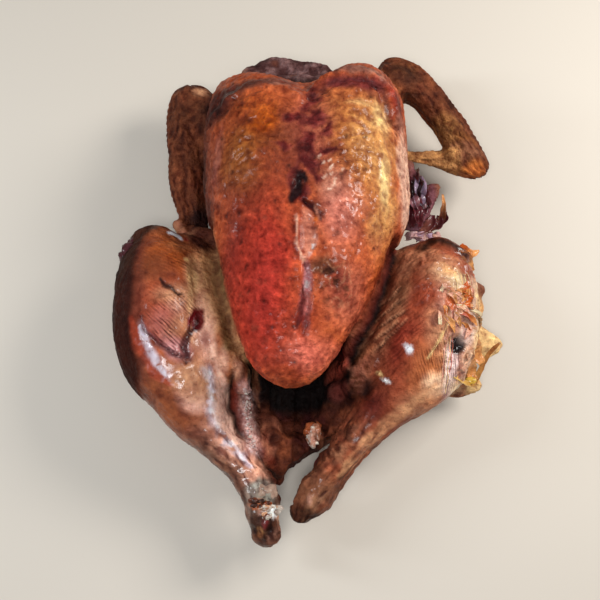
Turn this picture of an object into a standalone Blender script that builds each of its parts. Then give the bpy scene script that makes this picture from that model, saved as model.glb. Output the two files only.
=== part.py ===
"""A whole roast chicken lying on its back, as one solid with an open body cavity.

Metres, +Z up. The neck end points to +Y and the tail to -Y. The origin is at the
middle of the bird's base, on the surface that it lies on.
"""

import math

import bmesh
import bpy
import numpy as np
from mathutils import Vector

MM = 0.001

# Driving dimensions of the bird, in millimetres.
BREAST_TIP_Y = -60.0
BREAST_NECK_Y = 141.0

# The breast's relief, in millimetres. Widths are shares of the breast's half width.
LOBE_SWELL = 3.0
LOBE_PLACE = 0.42
LOBE_WIDTH = 0.28
KEEL_RIDGE = 2.0
KEEL_WIDTH = 0.10
NECK_CLEFT = 6.5
CLEFT_WIDTH = 0.15
NECK_NOTCH = 13.0
NOTCH_WIDTH = 0.20

# The finished surface: grain and smoothing of the one skin, and its triangle budget.
VOXEL = 2.2
SMOOTHING_PASSES = 5
TRIANGLES = 9000

# The breast's stations: y, centre x, half width, height of the widest line, crown, underside.
BREAST_STATIONS = (
    (-51, -4.6, 18, 82, 93, 72),
    (-39, -4.0, 27, 79, 98, 62),
    (-23, -2.9, 35, 75, 103, 48),
    (-7, -0.6, 42, 72, 107, 30),
    (12, 1.5, 49, 70, 110, 18),
    (32, 3.5, 55, 68, 113, 10),
    (57, 4.8, 61, 66, 115, 5),
    (83, 4.2, 62, 66, 114, 4),
    (108, 4.0, 61, 66, 109, 8),
    (122, 4.0, 58, 66, 102, 14),
    (133, 3.0, 49, 66, 93, 28),
)

# Limbs: x, y, z and radius along each one's centre line.
LEFT_LEG = (
    (-89, 34, 45, 17),
    (-87, 24, 46, 24),
    (-83, 6, 47, 30),
    (-80, -17, 47, 32),
    (-74, -42, 46, 29),
    (-64, -63, 44, 23),
    (-53, -78, 42, 17),
    (-43, -90, 40, 12.5),
    (-33, -101, 38, 10.5),
    (-27, -112, 36, 10.5),
    (-22.5, -126, 34, 12),
    (-19, -137, 32, 8),
)
RIGHT_LEG = (
    (89, 25, 45, 17),
    (85, 15, 47, 24),
    (80, 0, 48, 28),
    (76, -18, 48, 30),
    (71, -38, 47, 28),
    (62, -56, 45, 24),
    (50, -71, 43, 18),
    (38, -84, 41, 14),
    (27, -96, 39, 12),
    (17, -107, 37, 11.5),
    (9, -118, 35, 12.5),
    (4, -126, 34, 8),
)
LEFT_UPPER_WING = ((-40, 96, 40, 13), (-56, 120, 36, 14), (-68, 137, 34, 13))
LEFT_FOREWING = (
    (-72, 138, 33, 13),
    (-72, 124, 32, 14.5),
    (-71, 102, 31, 14.5),
    (-69, 82, 29, 13),
    (-67, 66, 27, 10),
    (-66, 52, 27, 8),
    (-67, 44, 28, 7),
)
RIGHT_UPPER_WING = ((46, 100, 42, 14), (54, 126, 42, 14), (61, 150, 40, 13.5))
RIGHT_FOREWING = (
    (62, 156, 39, 12),
    (73, 148, 37, 13.5),
    (88, 131, 33, 12.5),
    (102, 113, 29, 11.5),
    (111, 99, 26, 10.5),
)
RIGHT_WING_TIP = ((113, 97, 25, 9.5), (102, 98, 25, 7.5), (88, 101, 26, 5.2), (72, 102, 28, 4.2), (57, 103, 32, 4.2))
WING_FLATNESS = 0.8
NECK_FLATNESS = 0.7
RING_SPACING = 3.0
CAP_ANGLES = (20, 40, 60, 80)

# Skin and flesh that fill in between the masses.
LEFT_WEB = ((-64, 26, 48, 9), (-52, -4, 56, 10), (-43, -30, 60, 10), (-33, -52, 58, 7))
LEFT_VENT_FLAP = ((-40, -46, 46, 8), (-36, -64, 42, 7), (-29, -80, 35, 6), (-20, -92, 27, 6))
RIGHT_VENT_FLAP = ((34, -44, 44, 9), (31, -62, 38, 8), (22, -78, 31, 7), (12, -90, 25, 6))
NECK_FLAP = ((-37, 136, 52, 7), (-27, 148, 50, 10), (-12, 154, 46, 9), (4, 151, 50, 8), (22, 142, 60, 5))
NECK_ROLL = ((-30, 131, 30, 8), (-17, 145, 27, 9), (2, 148, 33, 7), (19, 141, 36, 10), (30, 130, 32, 7))

# Masses under the breast: centre, half sizes and turn about Z in degrees.
CARCASS = ((1, 22, 30), (46, 112, 33), 0)
PELVIS = ((-3, -64, 27), (38, 33, 28), 0)
LEFT_THIGH = ((-54, -10, 32), (34, 66, 33), 32)
RIGHT_THIGH = ((56, -14, 33), (33, 62, 34), -32)
TAIL = ((-4, -92, 18), (17, 17, 12), 4)
NECK = ((-3, 128, 42), (36, 22, 24), 0)

# Knuckles at the ends of the leg bones.
KNUCKLES = {
    "left_outer_knuckle": ((-25, -136, 33), (6.5, 7.5, 7), 0),
    "left_inner_knuckle": ((-13, -135, 34), (6.5, 7, 7), 0),
    "right_outer_knuckle": ((10, -125, 33), (7, 7, 7), 0),
    "right_inner_knuckle": ((1, -121, 34), (6, 7, 7), 0),
}

# Crisp skin torn loose. Root: x, y, z where it leaves the flesh. Heading: which way it
# hangs, in degrees from +X. Reach: how far, at even steps along the root, in millimetres.
TORN_SKIN = {
    "right_leg_skirt": {
        "root": ((95, 27, 42), (101, 8, 38), (99, -14, 34), (91, -34, 31), (78, -50, 30)),
        "heading": (34, 8, -4, -20, -42),
        "reach": (15, 9, 8, 16, 12, 14, 11, 17, 29, 24, 16, 18, 31, 25, 14, 8),
        "drop": 16,
    },
    "right_flank_curl": {
        "root": ((48, 82, 30), (52, 64, 34), (56, 46, 38)),
        "heading": (30, 34, 12),
        "reach": (14, 19, 17, 26, 41, 30, 20),
        "drop": -3,
    },
    "neck_frill": {
        "root": ((-33, 134, 52), (-14, 143, 50), (8, 142, 50), (27, 138, 54)),
        "heading": (128, 100, 84, 60),
        "reach": (6, 12, 21, 18, 12, 16, 19, 11, 5),
        "drop": 19,
    },
}
SKIN_THICKNESS = 2.6

# The body cavity, from its inner end out past the tail: x, y, z and radius.
CAVITY = (
    (3, 78, 50, 15),
    (2, 50, 50, 26),
    (0, 10, 48, 29),
    (-2, -30, 46, 28),
    (-3, -58, 45, 30),
    (-4, -80, 50, 33),
    (-5, -112, 62, 38),
)

SKIN_COLOUR = (0.42, 0.13, 0.04, 1.0)


def clear_scene():
    for obj in list(bpy.data.objects):
        bpy.data.objects.remove(obj)


def new_collection(name):
    collection = bpy.data.collections.new(name)
    bpy.context.scene.collection.children.link(collection)
    return collection


def curve_through(positions, values):
    """A smooth function through the values at these rising positions, with no overshoot."""
    x, v = np.array(positions, float), np.array(values, float)
    step, slope = np.diff(x), np.diff(v) / np.diff(x)
    tangent = np.concatenate(([slope[0]], np.zeros(len(x) - 2), [slope[-1]]))
    for i in range(1, len(x) - 1):
        if slope[i - 1] * slope[i] > 0:
            tangent[i] = 2 / (1 / slope[i - 1] + 1 / slope[i])

    def at(p):
        p = np.clip(p, x[0], x[-1])
        i = np.clip(np.searchsorted(x, p) - 1, 0, len(x) - 2)
        t = (p - x[i]) / step[i]
        return (
            v[i] * (1 + 2 * t) * (1 - t) ** 2
            + tangent[i] * step[i] * t * (1 - t) ** 2
            + v[i + 1] * t * t * (3 - 2 * t)
            + tangent[i + 1] * step[i] * t * t * (t - 1)
        )

    return at


def smooth_step(low, high, value):
    t = np.clip((value - low) / (high - low), 0, 1)
    return t * t * (3 - 2 * t)


def bell(distance, width):
    return np.exp(-((distance / width) ** 2))


def object_from(name, bm, collection):
    mesh = bpy.data.meshes.new(name)
    bm.to_mesh(mesh)
    bm.free()
    obj = bpy.data.objects.new(name, mesh)
    collection.objects.link(obj)
    return obj


def breast(collection):
    """The egg of the breast: blunt, two-lobed at the neck, and narrowing to the keel's tip."""
    stations = np.array(BREAST_STATIONS, float)
    middle = (BREAST_NECK_Y + BREAST_TIP_Y) / 2
    reach = (BREAST_NECK_Y - BREAST_TIP_Y) / 2
    y, centre, half, widest, crown, under = stations.T
    ring = np.sqrt(1 - ((y - middle) / reach) ** 2)
    centre_at = curve_through(y, centre)
    widest_at = curve_through(y, widest)
    width_at = curve_through(y, half / ring)
    crown_at = curve_through(y, (crown - widest) / ring)
    under_at = curve_through(y, (widest - under) / ring)

    bm = bmesh.new()
    bmesh.ops.create_uvsphere(bm, u_segments=72, v_segments=48, radius=1)
    for vert in bm.verts:
        side, up, along = vert.co.x, vert.co.y, vert.co.z
        y = middle + reach * along
        x = side * width_at(y)
        z = up * (crown_at(y) if up > 0 else under_at(y))
        if up > 0:
            # The two breast muscles swell on either side of the keel, which stands up towards
            # its tip, and part in a cleft and a notch at the neck.
            z += up * LOBE_SWELL * bell(abs(side) - LOBE_PLACE, LOBE_WIDTH) * smooth_step(-40, 20, y)
            z += up * KEEL_RIDGE * bell(side, KEEL_WIDTH) * smooth_step(60, -10, y)
            z -= up * NECK_CLEFT * bell(side, CLEFT_WIDTH) * smooth_step(60, 135, y)
            y -= NECK_NOTCH * bell(side, NOTCH_WIDTH) * smooth_step(110, BREAST_NECK_Y, y)
        vert.co = Vector((x + centre_at(y), y, z + widest_at(y))) * MM
    bmesh.ops.recalc_face_normals(bm, faces=bm.faces)
    return object_from("breast", bm, collection)


def torn_skin(name, form, collection):
    """A thin ragged sheet that waves along its root line and hangs outwards from it."""
    root = np.array(form["root"], float)
    along = np.linspace(0, 1, len(root))
    place = [curve_through(along, column) for column in root.T]
    heading = curve_through(along, np.radians(form["heading"]))
    reach = curve_through(np.linspace(0, 1, len(form["reach"])), form["reach"])
    bm = bmesh.new()
    bmesh.ops.create_grid(bm, x_segments=3 * len(form["reach"]), y_segments=4, size=0.5)
    for vert in bm.verts:
        u, v = vert.co.x + 0.5, vert.co.y + 0.5
        out = float(reach(u)) * v
        ripple = v * (1.8 * math.sin(17 * u + 2.2) + 0.9 * math.sin(41 * u))
        x, y, z = (float(line(u)) for line in place)
        turn = float(heading(u))
        z = max(z - form["drop"] * v * v + ripple, SKIN_THICKNESS)
        vert.co = Vector((x + out * math.cos(turn), y + out * math.sin(turn), z)) * MM
    obj = object_from(name, bm, collection)
    thicken = obj.modifiers.new("thickness", "SOLIDIFY")
    thicken.thickness = SKIN_THICKNESS * MM
    thicken.offset = 0
    return obj


def mass(name, form, collection):
    """An ellipsoid of flesh."""
    centre, half_sizes, turn = form
    bm = bmesh.new()
    bmesh.ops.create_uvsphere(bm, u_segments=40, v_segments=28, radius=1)
    obj = object_from(name, bm, collection)
    obj.location = Vector(centre) * MM
    obj.scale = Vector(half_sizes) * MM
    obj.rotation_euler = (0, 0, math.radians(turn))
    return obj


def round_end(end, inner):
    """Stations that carry a limb on from its end station to a round tip."""
    outward = (end - inner)[:3]
    outward /= np.linalg.norm(outward)
    stations = []
    for angle in CAP_ANGLES:
        lift, narrowing = math.sin(math.radians(angle)), math.cos(math.radians(angle))
        stations.append((*(end[:3] + outward * end[3] * lift), end[3] * narrowing))
    return np.array(stations)


def limb(name, stations, collection, flatness=1.0):
    """A round-ended tube of changing radius along a smooth line, flattened in height."""
    stations = np.array(stations, float)
    steps = np.linalg.norm(np.diff(stations[:, :3], axis=0), axis=1)
    travel = np.concatenate(([0], np.cumsum(steps)))
    lines = [curve_through(travel, column) for column in stations.T]
    places = np.linspace(0, travel[-1], max(12, int(travel[-1] / RING_SPACING)))
    rows = np.array([line(places) for line in lines]).T
    rows = np.vstack((round_end(rows[0], rows[1])[::-1], rows, round_end(rows[-1], rows[-2])))

    curve = bpy.data.curves.new(name, "CURVE")
    curve.dimensions = "3D"
    curve.bevel_depth = 1.0
    curve.bevel_resolution = 5
    curve.use_fill_caps = True
    spline = curve.splines.new("POLY")
    spline.points.add(len(rows) - 1)
    for point, (x, y, z, radius) in zip(spline.points, rows):
        point.co = (x * MM, y * MM, z * MM / flatness, 1)
        point.radius = radius * MM
    guide = bpy.data.objects.new(name + "_line", curve)
    guide.scale = (1, 1, flatness)
    collection.objects.link(guide)
    bpy.context.view_layer.update()

    evaluated = guide.evaluated_get(bpy.context.evaluated_depsgraph_get())
    mesh = bpy.data.meshes.new_from_object(evaluated)
    bm = bmesh.new()
    bm.from_mesh(mesh)
    bmesh.ops.remove_doubles(bm, verts=bm.verts, dist=1e-6)
    bmesh.ops.recalc_face_normals(bm, faces=bm.faces)
    obj = object_from(name, bm, collection)
    obj.matrix_world = guide.matrix_world
    bpy.data.objects.remove(guide)
    bpy.data.meshes.remove(mesh)
    return obj


def apply_modifiers(obj):
    bpy.context.view_layer.update()
    evaluated = obj.evaluated_get(bpy.context.evaluated_depsgraph_get())
    mesh = bpy.data.meshes.new_from_object(evaluated)
    obj.modifiers.clear()
    obj.data = mesh


def boolean(obj, operation, other, name):
    """Joins or cuts with an object or a whole collection, whose objects are then removed."""
    modifier = obj.modifiers.new(name, "BOOLEAN")
    modifier.operation = operation
    modifier.solver = "EXACT"
    if isinstance(other, bpy.types.Collection):
        modifier.operand_type = "COLLECTION"
        modifier.collection = other
        used = list(other.objects)
    else:
        modifier.object = other
        used = [other]
    apply_modifiers(obj)
    for spent in used:
        bpy.data.objects.remove(spent)


def skin_over(obj):
    """One even, softly blended skin over everything that is joined, within the triangle budget."""
    remesh = obj.modifiers.new("skin", "REMESH")
    remesh.mode = "VOXEL"
    remesh.voxel_size = VOXEL * MM
    soften = obj.modifiers.new("soften", "SMOOTH")
    soften.factor = 0.5
    soften.iterations = SMOOTHING_PASSES
    apply_modifiers(obj)
    triangles = sum(len(face.vertices) - 2 for face in obj.data.polygons)
    thin = obj.modifiers.new("thin_out", "DECIMATE")
    thin.ratio = TRIANGLES / triangles
    thin.use_collapse_triangulate = True
    apply_modifiers(obj)


def rest_flat(obj, cutters):
    """Cuts the underside to the flat that it rests on."""
    depth = 40 * MM
    bpy.ops.mesh.primitive_cube_add(size=1, location=(0, 0, -depth / 2))
    ground = bpy.context.object
    ground.name = "ground"
    ground.scale = (1, 1, depth)
    for owner in list(ground.users_collection):
        owner.objects.unlink(ground)
    cutters.objects.link(ground)
    boolean(obj, "DIFFERENCE", ground, "rest_flat")


def centre_on_base(obj):
    """Moves the bird so that the origin is at the middle of its base."""
    corners = np.array([vert.co for vert in obj.data.vertices])
    middle = (corners.min(axis=0) + corners.max(axis=0)) / 2
    for vert in obj.data.vertices:
        vert.co.x -= middle[0]
        vert.co.y -= middle[1]


def skin_material():
    material = bpy.data.materials.new("roast_skin")
    material.use_nodes = True
    shader = material.node_tree.nodes["Principled BSDF"]
    shader.inputs["Base Color"].default_value = SKIN_COLOUR
    shader.inputs["Roughness"].default_value = 0.38
    shader.inputs["Metallic"].default_value = 0.0
    return material


def build():
    clear_scene()
    part = new_collection("roast_chicken")
    flesh = new_collection("flesh")
    limbs = new_collection("limbs")
    shreds = new_collection("shreds")
    cutters = new_collection("cutters")

    bird = breast(part)
    bird.name = "roast_chicken"
    for name, form in (
        ("carcass", CARCASS),
        ("pelvis", PELVIS),
        ("left_thigh", LEFT_THIGH),
        ("right_thigh", RIGHT_THIGH),
    ):
        mass(name, form, flesh)
    limb("left_web", LEFT_WEB, flesh)
    boolean(bird, "UNION", flesh, "flesh")
    cavity = limb("cavity", CAVITY, cutters)
    boolean(bird, "DIFFERENCE", cavity, "cavity")

    limb("left_leg", LEFT_LEG, limbs)
    limb("right_leg", RIGHT_LEG, limbs)
    limb("left_upper_wing", LEFT_UPPER_WING, limbs)
    limb("left_forewing", LEFT_FOREWING, limbs, WING_FLATNESS)
    limb("right_upper_wing", RIGHT_UPPER_WING, limbs)
    limb("right_forewing", RIGHT_FOREWING, limbs, WING_FLATNESS)
    limb("right_wing_tip", RIGHT_WING_TIP, limbs, WING_FLATNESS)
    limb("left_vent_flap", LEFT_VENT_FLAP, limbs)
    limb("right_vent_flap", RIGHT_VENT_FLAP, limbs)
    limb("neck_flap", NECK_FLAP, limbs, NECK_FLATNESS)
    limb("neck_roll", NECK_ROLL, limbs, NECK_FLATNESS)
    mass("tail", TAIL, limbs)
    mass("neck", NECK, limbs)
    for name, form in KNUCKLES.items():
        mass(name, form, limbs)
    boolean(bird, "UNION", limbs, "limbs")
    skin_over(bird)

    for name, form in TORN_SKIN.items():
        torn_skin(name, form, shreds)
    boolean(bird, "UNION", shreds, "shreds")
    rest_flat(bird, cutters)
    centre_on_base(bird)
    bird.data.materials.append(skin_material())
    bird.data.shade_smooth()


build()
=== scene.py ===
"""The looks of a whole roast chicken that lies on its back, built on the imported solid.

One fine skin is drawn over the solid and sculpted into roasted skin, torn edges, bared flesh
and an open body cavity. Small loose pieces go on top: crisp shreds, beads, gristle, strings.
Metres, +Z up, the neck towards +Y and the tail towards -Y. Places are shares of the solid's
box: u across it, v along it from tail to neck, w up. Reliefs and radii are in millimetres.
"""

import itertools
import math

import bmesh
import bpy
import numpy as np
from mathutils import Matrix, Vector


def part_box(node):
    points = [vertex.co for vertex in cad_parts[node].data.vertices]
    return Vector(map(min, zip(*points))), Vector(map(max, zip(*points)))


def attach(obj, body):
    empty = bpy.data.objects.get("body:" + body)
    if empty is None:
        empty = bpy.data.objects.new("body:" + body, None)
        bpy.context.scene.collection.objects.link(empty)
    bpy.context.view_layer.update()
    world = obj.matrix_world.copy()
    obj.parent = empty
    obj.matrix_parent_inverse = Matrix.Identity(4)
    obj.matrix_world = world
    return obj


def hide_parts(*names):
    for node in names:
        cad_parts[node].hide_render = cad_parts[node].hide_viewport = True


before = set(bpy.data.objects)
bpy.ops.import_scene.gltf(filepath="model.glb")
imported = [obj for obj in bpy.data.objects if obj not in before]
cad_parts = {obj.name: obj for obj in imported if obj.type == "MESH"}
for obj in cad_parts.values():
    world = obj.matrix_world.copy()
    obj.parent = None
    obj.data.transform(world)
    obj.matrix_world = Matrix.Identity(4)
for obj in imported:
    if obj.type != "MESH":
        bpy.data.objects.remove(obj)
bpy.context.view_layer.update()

MM = 0.001
NODE = "roast_chicken"
LOW, HIGH = (np.array(corner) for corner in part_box(NODE))

# The one fine skin: its grain while it is sculpted, and what it is thinned to.
SKIN_GRAIN = 1.1 * MM
SKIN_TRIANGLES = 190_000

# A region that covers less of a point than this is left out there.
BARELY = 0.002


# ------------ places and masks


def place(u, v, w=0.0):
    """The point at these shares of the bird's width, length and height."""
    return LOW + (HIGH - LOW) * np.array((u, v, w))


def shares_of(p):
    """The other way round: the u, the v and the w of every point."""
    return ((p - LOW) / (HIGH - LOW)).T


def smooth_step(low, high, value):
    """0 up to low, 1 from high on, and an even climb between. It falls if low is the larger."""
    t = np.clip((value - low) / (high - low), 0, 1)
    return t * t * (3 - 2 * t)


def bell(distance, width):
    """1 where the distance is 0, falling off smoothly to both sides."""
    return np.exp(-((distance / width) ** 2))


def blend(a, b, share):
    """From a towards b, by this share of the way."""
    return a + (b - a) * share


class Line:
    """A line through marks (u, v, w, radius in mm), such as the bone of a leg."""

    def __init__(self, *marks):
        self.points = np.array([place(*mark[:3]) for mark in marks])
        self.radii = np.array([mark[3] for mark in marks]) * MM
        self.steps = np.linalg.norm(np.diff(self.points, axis=0), axis=1)
        self.length = self.steps.sum()

    def measure(self, p):
        """For each point: how far along the line it is in metres, its distance from the line
        as a share of the radius there, and its angle round the line, 0 at the top."""
        nearest = np.full(len(p), np.inf)
        along, share, angle = np.zeros(len(p)), np.zeros(len(p)), np.zeros(len(p))
        walked = 0.0
        for i, step in enumerate(self.steps):
            heading = (self.points[i + 1] - self.points[i]) / step
            t = np.clip((p - self.points[i]) @ heading, 0, step)
            off = p - self.points[i] - t[:, None] * heading
            distance = np.linalg.norm(off, axis=1)
            radius = blend(self.radii[i], self.radii[i + 1], t / step)
            side = np.cross(heading, (0, 0, 1))
            side /= np.linalg.norm(side)
            over = np.cross(side, heading)
            here = distance < nearest
            along[here] = walked + t[here]
            share[here] = (distance / radius)[here]
            angle[here] = np.arctan2(off[here] @ side, off[here] @ over)
            nearest = np.minimum(nearest, distance)
            walked += step
        return along, share, angle

    def near(self, p, full=1.1, none=1.32):
        """1 on the limb round this line, and 0 off it."""
        return 1 - smooth_step(full, none, self.measure(p)[1])


def oval(p, u, v, across, along, turn=0.0, soft=0.5):
    """1 in an oval seen from above, falling to 0 at its rim, half sizes in mm."""
    dx, dy = (p[:, :2] - place(u, v)[:2]).T / MM
    c, s = math.cos(math.radians(turn)), math.sin(math.radians(turn))
    r = np.hypot((dx * c + dy * s) / across, (dy * c - dx * s) / along)
    return 1 - smooth_step(1 - soft, 1, r)


def trace(p, marks):
    """Distance in mm, seen from above, from a line of (u, v) marks, the share walked along it
    and the side: above 0 to the right of the way that the line runs."""
    stops = np.array([place(u, v)[:2] for u, v in marks])
    steps = np.linalg.norm(np.diff(stops, axis=0), axis=1)
    nearest, walked, side = np.full(len(p), np.inf), np.zeros(len(p)), np.zeros(len(p))
    for i, step in enumerate(steps):
        heading = (stops[i + 1] - stops[i]) / step
        off = p[:, :2] - stops[i]
        t = np.clip(off @ heading, 0, step)
        distance = np.linalg.norm(off - t[:, None] * heading, axis=1)
        here = distance < nearest
        nearest[here] = distance[here]
        walked[here] = (steps[:i].sum() + t[here]) / steps.sum()
        side[here] = (off[:, 0] * heading[1] - off[:, 1] * heading[0])[here]
    return nearest / MM, walked, side / MM


def stroke(p, marks, width, ends=True):
    """1 along a line of marks, falling to 0 at this width in mm, and tapering at its ends."""
    distance, walked, _ = trace(p, marks)
    taper = np.sin(np.pi * np.clip(walked, 0.04, 0.96)) ** 0.4 if ends else 1.0
    return 1 - smooth_step(0.25, 1, distance / (width * taper))


# ------------ noise


def lattice(cell, seed):
    """A fixed number from 0 to 1 for each whole-numbered cell."""
    x, y, z = cell.astype(np.int64).astype(np.uint64).T
    h = x * np.uint64(73856093) ^ y * np.uint64(19349663) ^ z * np.uint64(83492791)
    h ^= np.uint64(seed * 2654435761 + 97)
    h = (h ^ (h >> np.uint64(15))) * np.uint64(2246822519)
    h = (h ^ (h >> np.uint64(13))) * np.uint64(3266489917)
    return ((h ^ (h >> np.uint64(16))) & np.uint64(0xFFFFFF)).astype(float) / 0xFFFFFF


def draws(count, number, kind, seed):
    """A few fixed numbers from 0 to 1 for the loose part or mark with this number."""
    return lattice(np.array([(number, j, kind) for j in range(count)]), seed)


def grain(p, size, seed=0):
    """Smooth noise from -1 to 1, with features of this size in mm."""
    q = p / (size * MM) + 7.3 * seed
    cell = np.floor(q)
    f = q - cell
    f = f * f * (3 - 2 * f)
    total = np.zeros(len(p))
    for corner in itertools.product((0, 1), repeat=3):
        weight = np.prod(np.where(corner, f, 1 - f), axis=1)
        total += weight * lattice(cell + corner, seed)
    return 2 * total - 1


def lumps(p, size, seed=0, octaves=3):
    """Noise with finer noise on it, each octave half the size and height."""
    total = sum(grain(p, size / 2**k, seed + k) / 2**k for k in range(octaves))
    return total / (2 - 0.5 ** (octaves - 1))


def creases(p, size, seed=0, octaves=2):
    """Crumpled folds: 1 on sharp ridges, falling to 0 in wide hollows."""
    total = sum((1 - 2 * abs(grain(p, size / 2**k, seed + k))) / 2**k for k in range(octaves))
    return np.clip(0.5 + 0.5 * total / (2 - 0.5 ** (octaves - 1)), 0, 1)


def cells(p, size, seed=0):
    """Distance from the nearest of many scattered seeds, and from the next, in cell sizes."""
    q = p / (size * MM) + 3.1 * seed
    base = np.floor(q)
    first, second = np.full(len(p), 9.0), np.full(len(p), 9.0)
    for step in itertools.product((-1, 0, 1), repeat=3):
        cell = base + step
        at = cell + np.stack([lattice(cell, seed + k) for k in range(3)], axis=1)
        distance = np.linalg.norm(q - at, axis=1)
        second = np.minimum(second, np.maximum(first, distance))
        first = np.minimum(first, distance)
    return first, second


def warped(p, size, reach, seed=0):
    """The points pushed about by noise, so that a shape laid out on them gets an uneven rim."""
    push = np.stack([grain(p, size, seed + k) for k in range(3)], axis=1)
    return p + push * reach * MM


# ------------ where things lie

LEFT_LEG = Line(
    (0.097, 0.572, 0.389, 17),
    (0.110, 0.525, 0.400, 26),
    (0.128, 0.460, 0.406, 31),
    (0.140, 0.385, 0.404, 31),
    (0.160, 0.328, 0.398, 29),
    (0.202, 0.261, 0.380, 23),
    (0.247, 0.213, 0.363, 17),
    (0.289, 0.174, 0.346, 12.5),
    (0.331, 0.139, 0.328, 10.5),
    (0.376, 0.059, 0.294, 12),
    (0.389, 0.024, 0.277, 9),
)
RIGHT_LEG = Line(
    (0.839, 0.543, 0.389, 17),
    (0.822, 0.511, 0.406, 24),
    (0.801, 0.463, 0.415, 28),
    (0.784, 0.405, 0.415, 30),
    (0.764, 0.341, 0.406, 28),
    (0.726, 0.284, 0.389, 24),
    (0.676, 0.235, 0.372, 18),
    (0.626, 0.194, 0.354, 14),
    (0.580, 0.155, 0.337, 12),
    (0.505, 0.085, 0.302, 12.5),
    (0.485, 0.059, 0.294, 9),
)
LEFT_WING = Line(
    (0.168, 0.906, 0.285, 13),
    (0.172, 0.790, 0.268, 14.5),
    (0.181, 0.726, 0.251, 13),
    (0.189, 0.604, 0.242, 7),
)
LEFT_SHOULDER = Line((0.301, 0.771, 0.346, 13), (0.235, 0.848, 0.311, 14), (0.185, 0.902, 0.294, 13))
RIGHT_WING = Line(
    (0.726, 0.964, 0.337, 12),
    (0.772, 0.938, 0.320, 13.5),
    (0.834, 0.883, 0.285, 12.5),
    (0.930, 0.781, 0.225, 10.5),
)
RIGHT_SHOULDER = Line((0.659, 0.784, 0.363, 14), (0.693, 0.867, 0.363, 14), (0.722, 0.944, 0.346, 13.5))
RIGHT_WING_TIP = Line(
    (0.938, 0.774, 0.216, 9.5),
    (0.893, 0.777, 0.216, 7.5),
    (0.834, 0.787, 0.225, 5.2),
    (0.705, 0.794, 0.277, 4.2),
)
CAVITY = Line(
    (0.481, 0.713, 0.432, 15),
    (0.476, 0.623, 0.432, 26),
    (0.468, 0.495, 0.415, 29),
    (0.460, 0.367, 0.397, 28),
    (0.455, 0.277, 0.389, 30),
    (0.451, 0.206, 0.432, 33),
    (0.447, 0.104, 0.536, 38),
)
TAIL = Line((0.451, 0.210, 0.16, 15), (0.451, 0.150, 0.16, 17))

# Lines on the breast, as (u, v) marks from neck to tail.
SLIT_LEFT = ((0.468, 0.585), (0.459, 0.553), (0.459, 0.527), (0.468, 0.501), (0.482, 0.478))
SLIT_RIGHT = ((0.505, 0.578), (0.514, 0.554), (0.502, 0.527), (0.488, 0.493), (0.482, 0.478))
SLIT_TEAR = ((0.473, 0.590), (0.495, 0.578), (0.516, 0.566), (0.517, 0.556))
KEEL_GROOVE = ((0.480, 0.480), (0.482, 0.446), (0.484, 0.420), (0.480, 0.384), (0.468, 0.352))
KEEL_CREASE = ((0.480, 0.440), (0.474, 0.405), (0.460, 0.360))
BLISTER_CREASE = ((0.500, 0.480), (0.505, 0.462), (0.540, 0.460), (0.566, 0.476))
SHOULDER_FOLD = (
    (0.500, 0.826), (0.530, 0.850), (0.580, 0.866),
    (0.635, 0.864), (0.685, 0.840), (0.708, 0.792),
)
LEFT_SHOULDER_FOLD = ((0.470, 0.800), (0.420, 0.822), (0.360, 0.832), (0.300, 0.822), (0.262, 0.790))

# Lines on the legs.
PEELED_EDGE = ((0.088, 0.410), (0.098, 0.384), (0.130, 0.361), (0.175, 0.338), (0.205, 0.330))
LEFT_KNEE_LINE = ((0.050, 0.52), (0.070, 0.586), (0.110, 0.614), (0.150, 0.613))
LEFT_CRACK = ((0.128, 0.481), (0.150, 0.466), (0.185, 0.447))
LEFT_HOLE = ((0.212, 0.390), (0.200, 0.370), (0.194, 0.350), (0.198, 0.322))
WET_STREAK = ((0.087, 0.399), (0.101, 0.365), (0.130, 0.320), (0.164, 0.292))
LEFT_SHINE = (
    (0.250, 0.318), (0.258, 0.280), (0.260, 0.243),
    (0.288, 0.198), (0.318, 0.172), (0.347, 0.146),
)
# Painted light along the left shank's steep inner edge.
LEFT_EDGE = (
    (0.286, 0.345), (0.280, 0.312), (0.277, 0.284),
    (0.280, 0.254), (0.300, 0.214), (0.332, 0.180),
)
RED_BAND = ((0.074, 0.405), (0.086, 0.356), (0.115, 0.314), (0.152, 0.285))
RIGHT_HEM = (
    (0.560, 0.125), (0.600, 0.165), (0.650, 0.203),
    (0.705, 0.238), (0.750, 0.262), (0.790, 0.285),
)
RIGHT_RIM = ((0.772, 0.560), (0.795, 0.577), (0.820, 0.576), (0.850, 0.562), (0.884, 0.545))
RIGHT_FOLD = ((0.817, 0.392), (0.797, 0.362), (0.770, 0.330))
RIGHT_WRINKLES = (
    ((0.640, 0.386), (0.672, 0.402), (0.716, 0.420)),
    ((0.634, 0.362), (0.664, 0.380), (0.702, 0.400)),
    ((0.650, 0.408), (0.680, 0.425), (0.708, 0.442)),
    ((0.622, 0.332), (0.644, 0.348), (0.672, 0.366)),
    ((0.668, 0.442), (0.692, 0.454), (0.712, 0.470)),
    ((0.676, 0.372), (0.700, 0.384), (0.722, 0.402)),
)

# Where the breast meets the legs, from neck to tail.
LEFT_GAP = ((0.247, 0.575), (0.261, 0.502), (0.275, 0.449), (0.302, 0.384), (0.328, 0.342))
LEFT_WEB = ((0.258, 0.530), (0.270, 0.480), (0.282, 0.430), (0.290, 0.390), (0.300, 0.356))
RIGHT_GAP = (
    (0.706, 0.546), (0.696, 0.514), (0.675, 0.466),
    (0.643, 0.404), (0.602, 0.352), (0.588, 0.338),
)

# Round the cavity: its left wall, and the pale beads along it.
LEFT_WALL = (
    (0.312, 0.313), (0.295, 0.284), (0.296, 0.254),
    (0.320, 0.211), (0.351, 0.183), (0.388, 0.149),
)
BEADED_RIM = ((0.342, 0.279), (0.340, 0.262), (0.340, 0.245), (0.345, 0.211), (0.355, 0.180))

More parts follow.
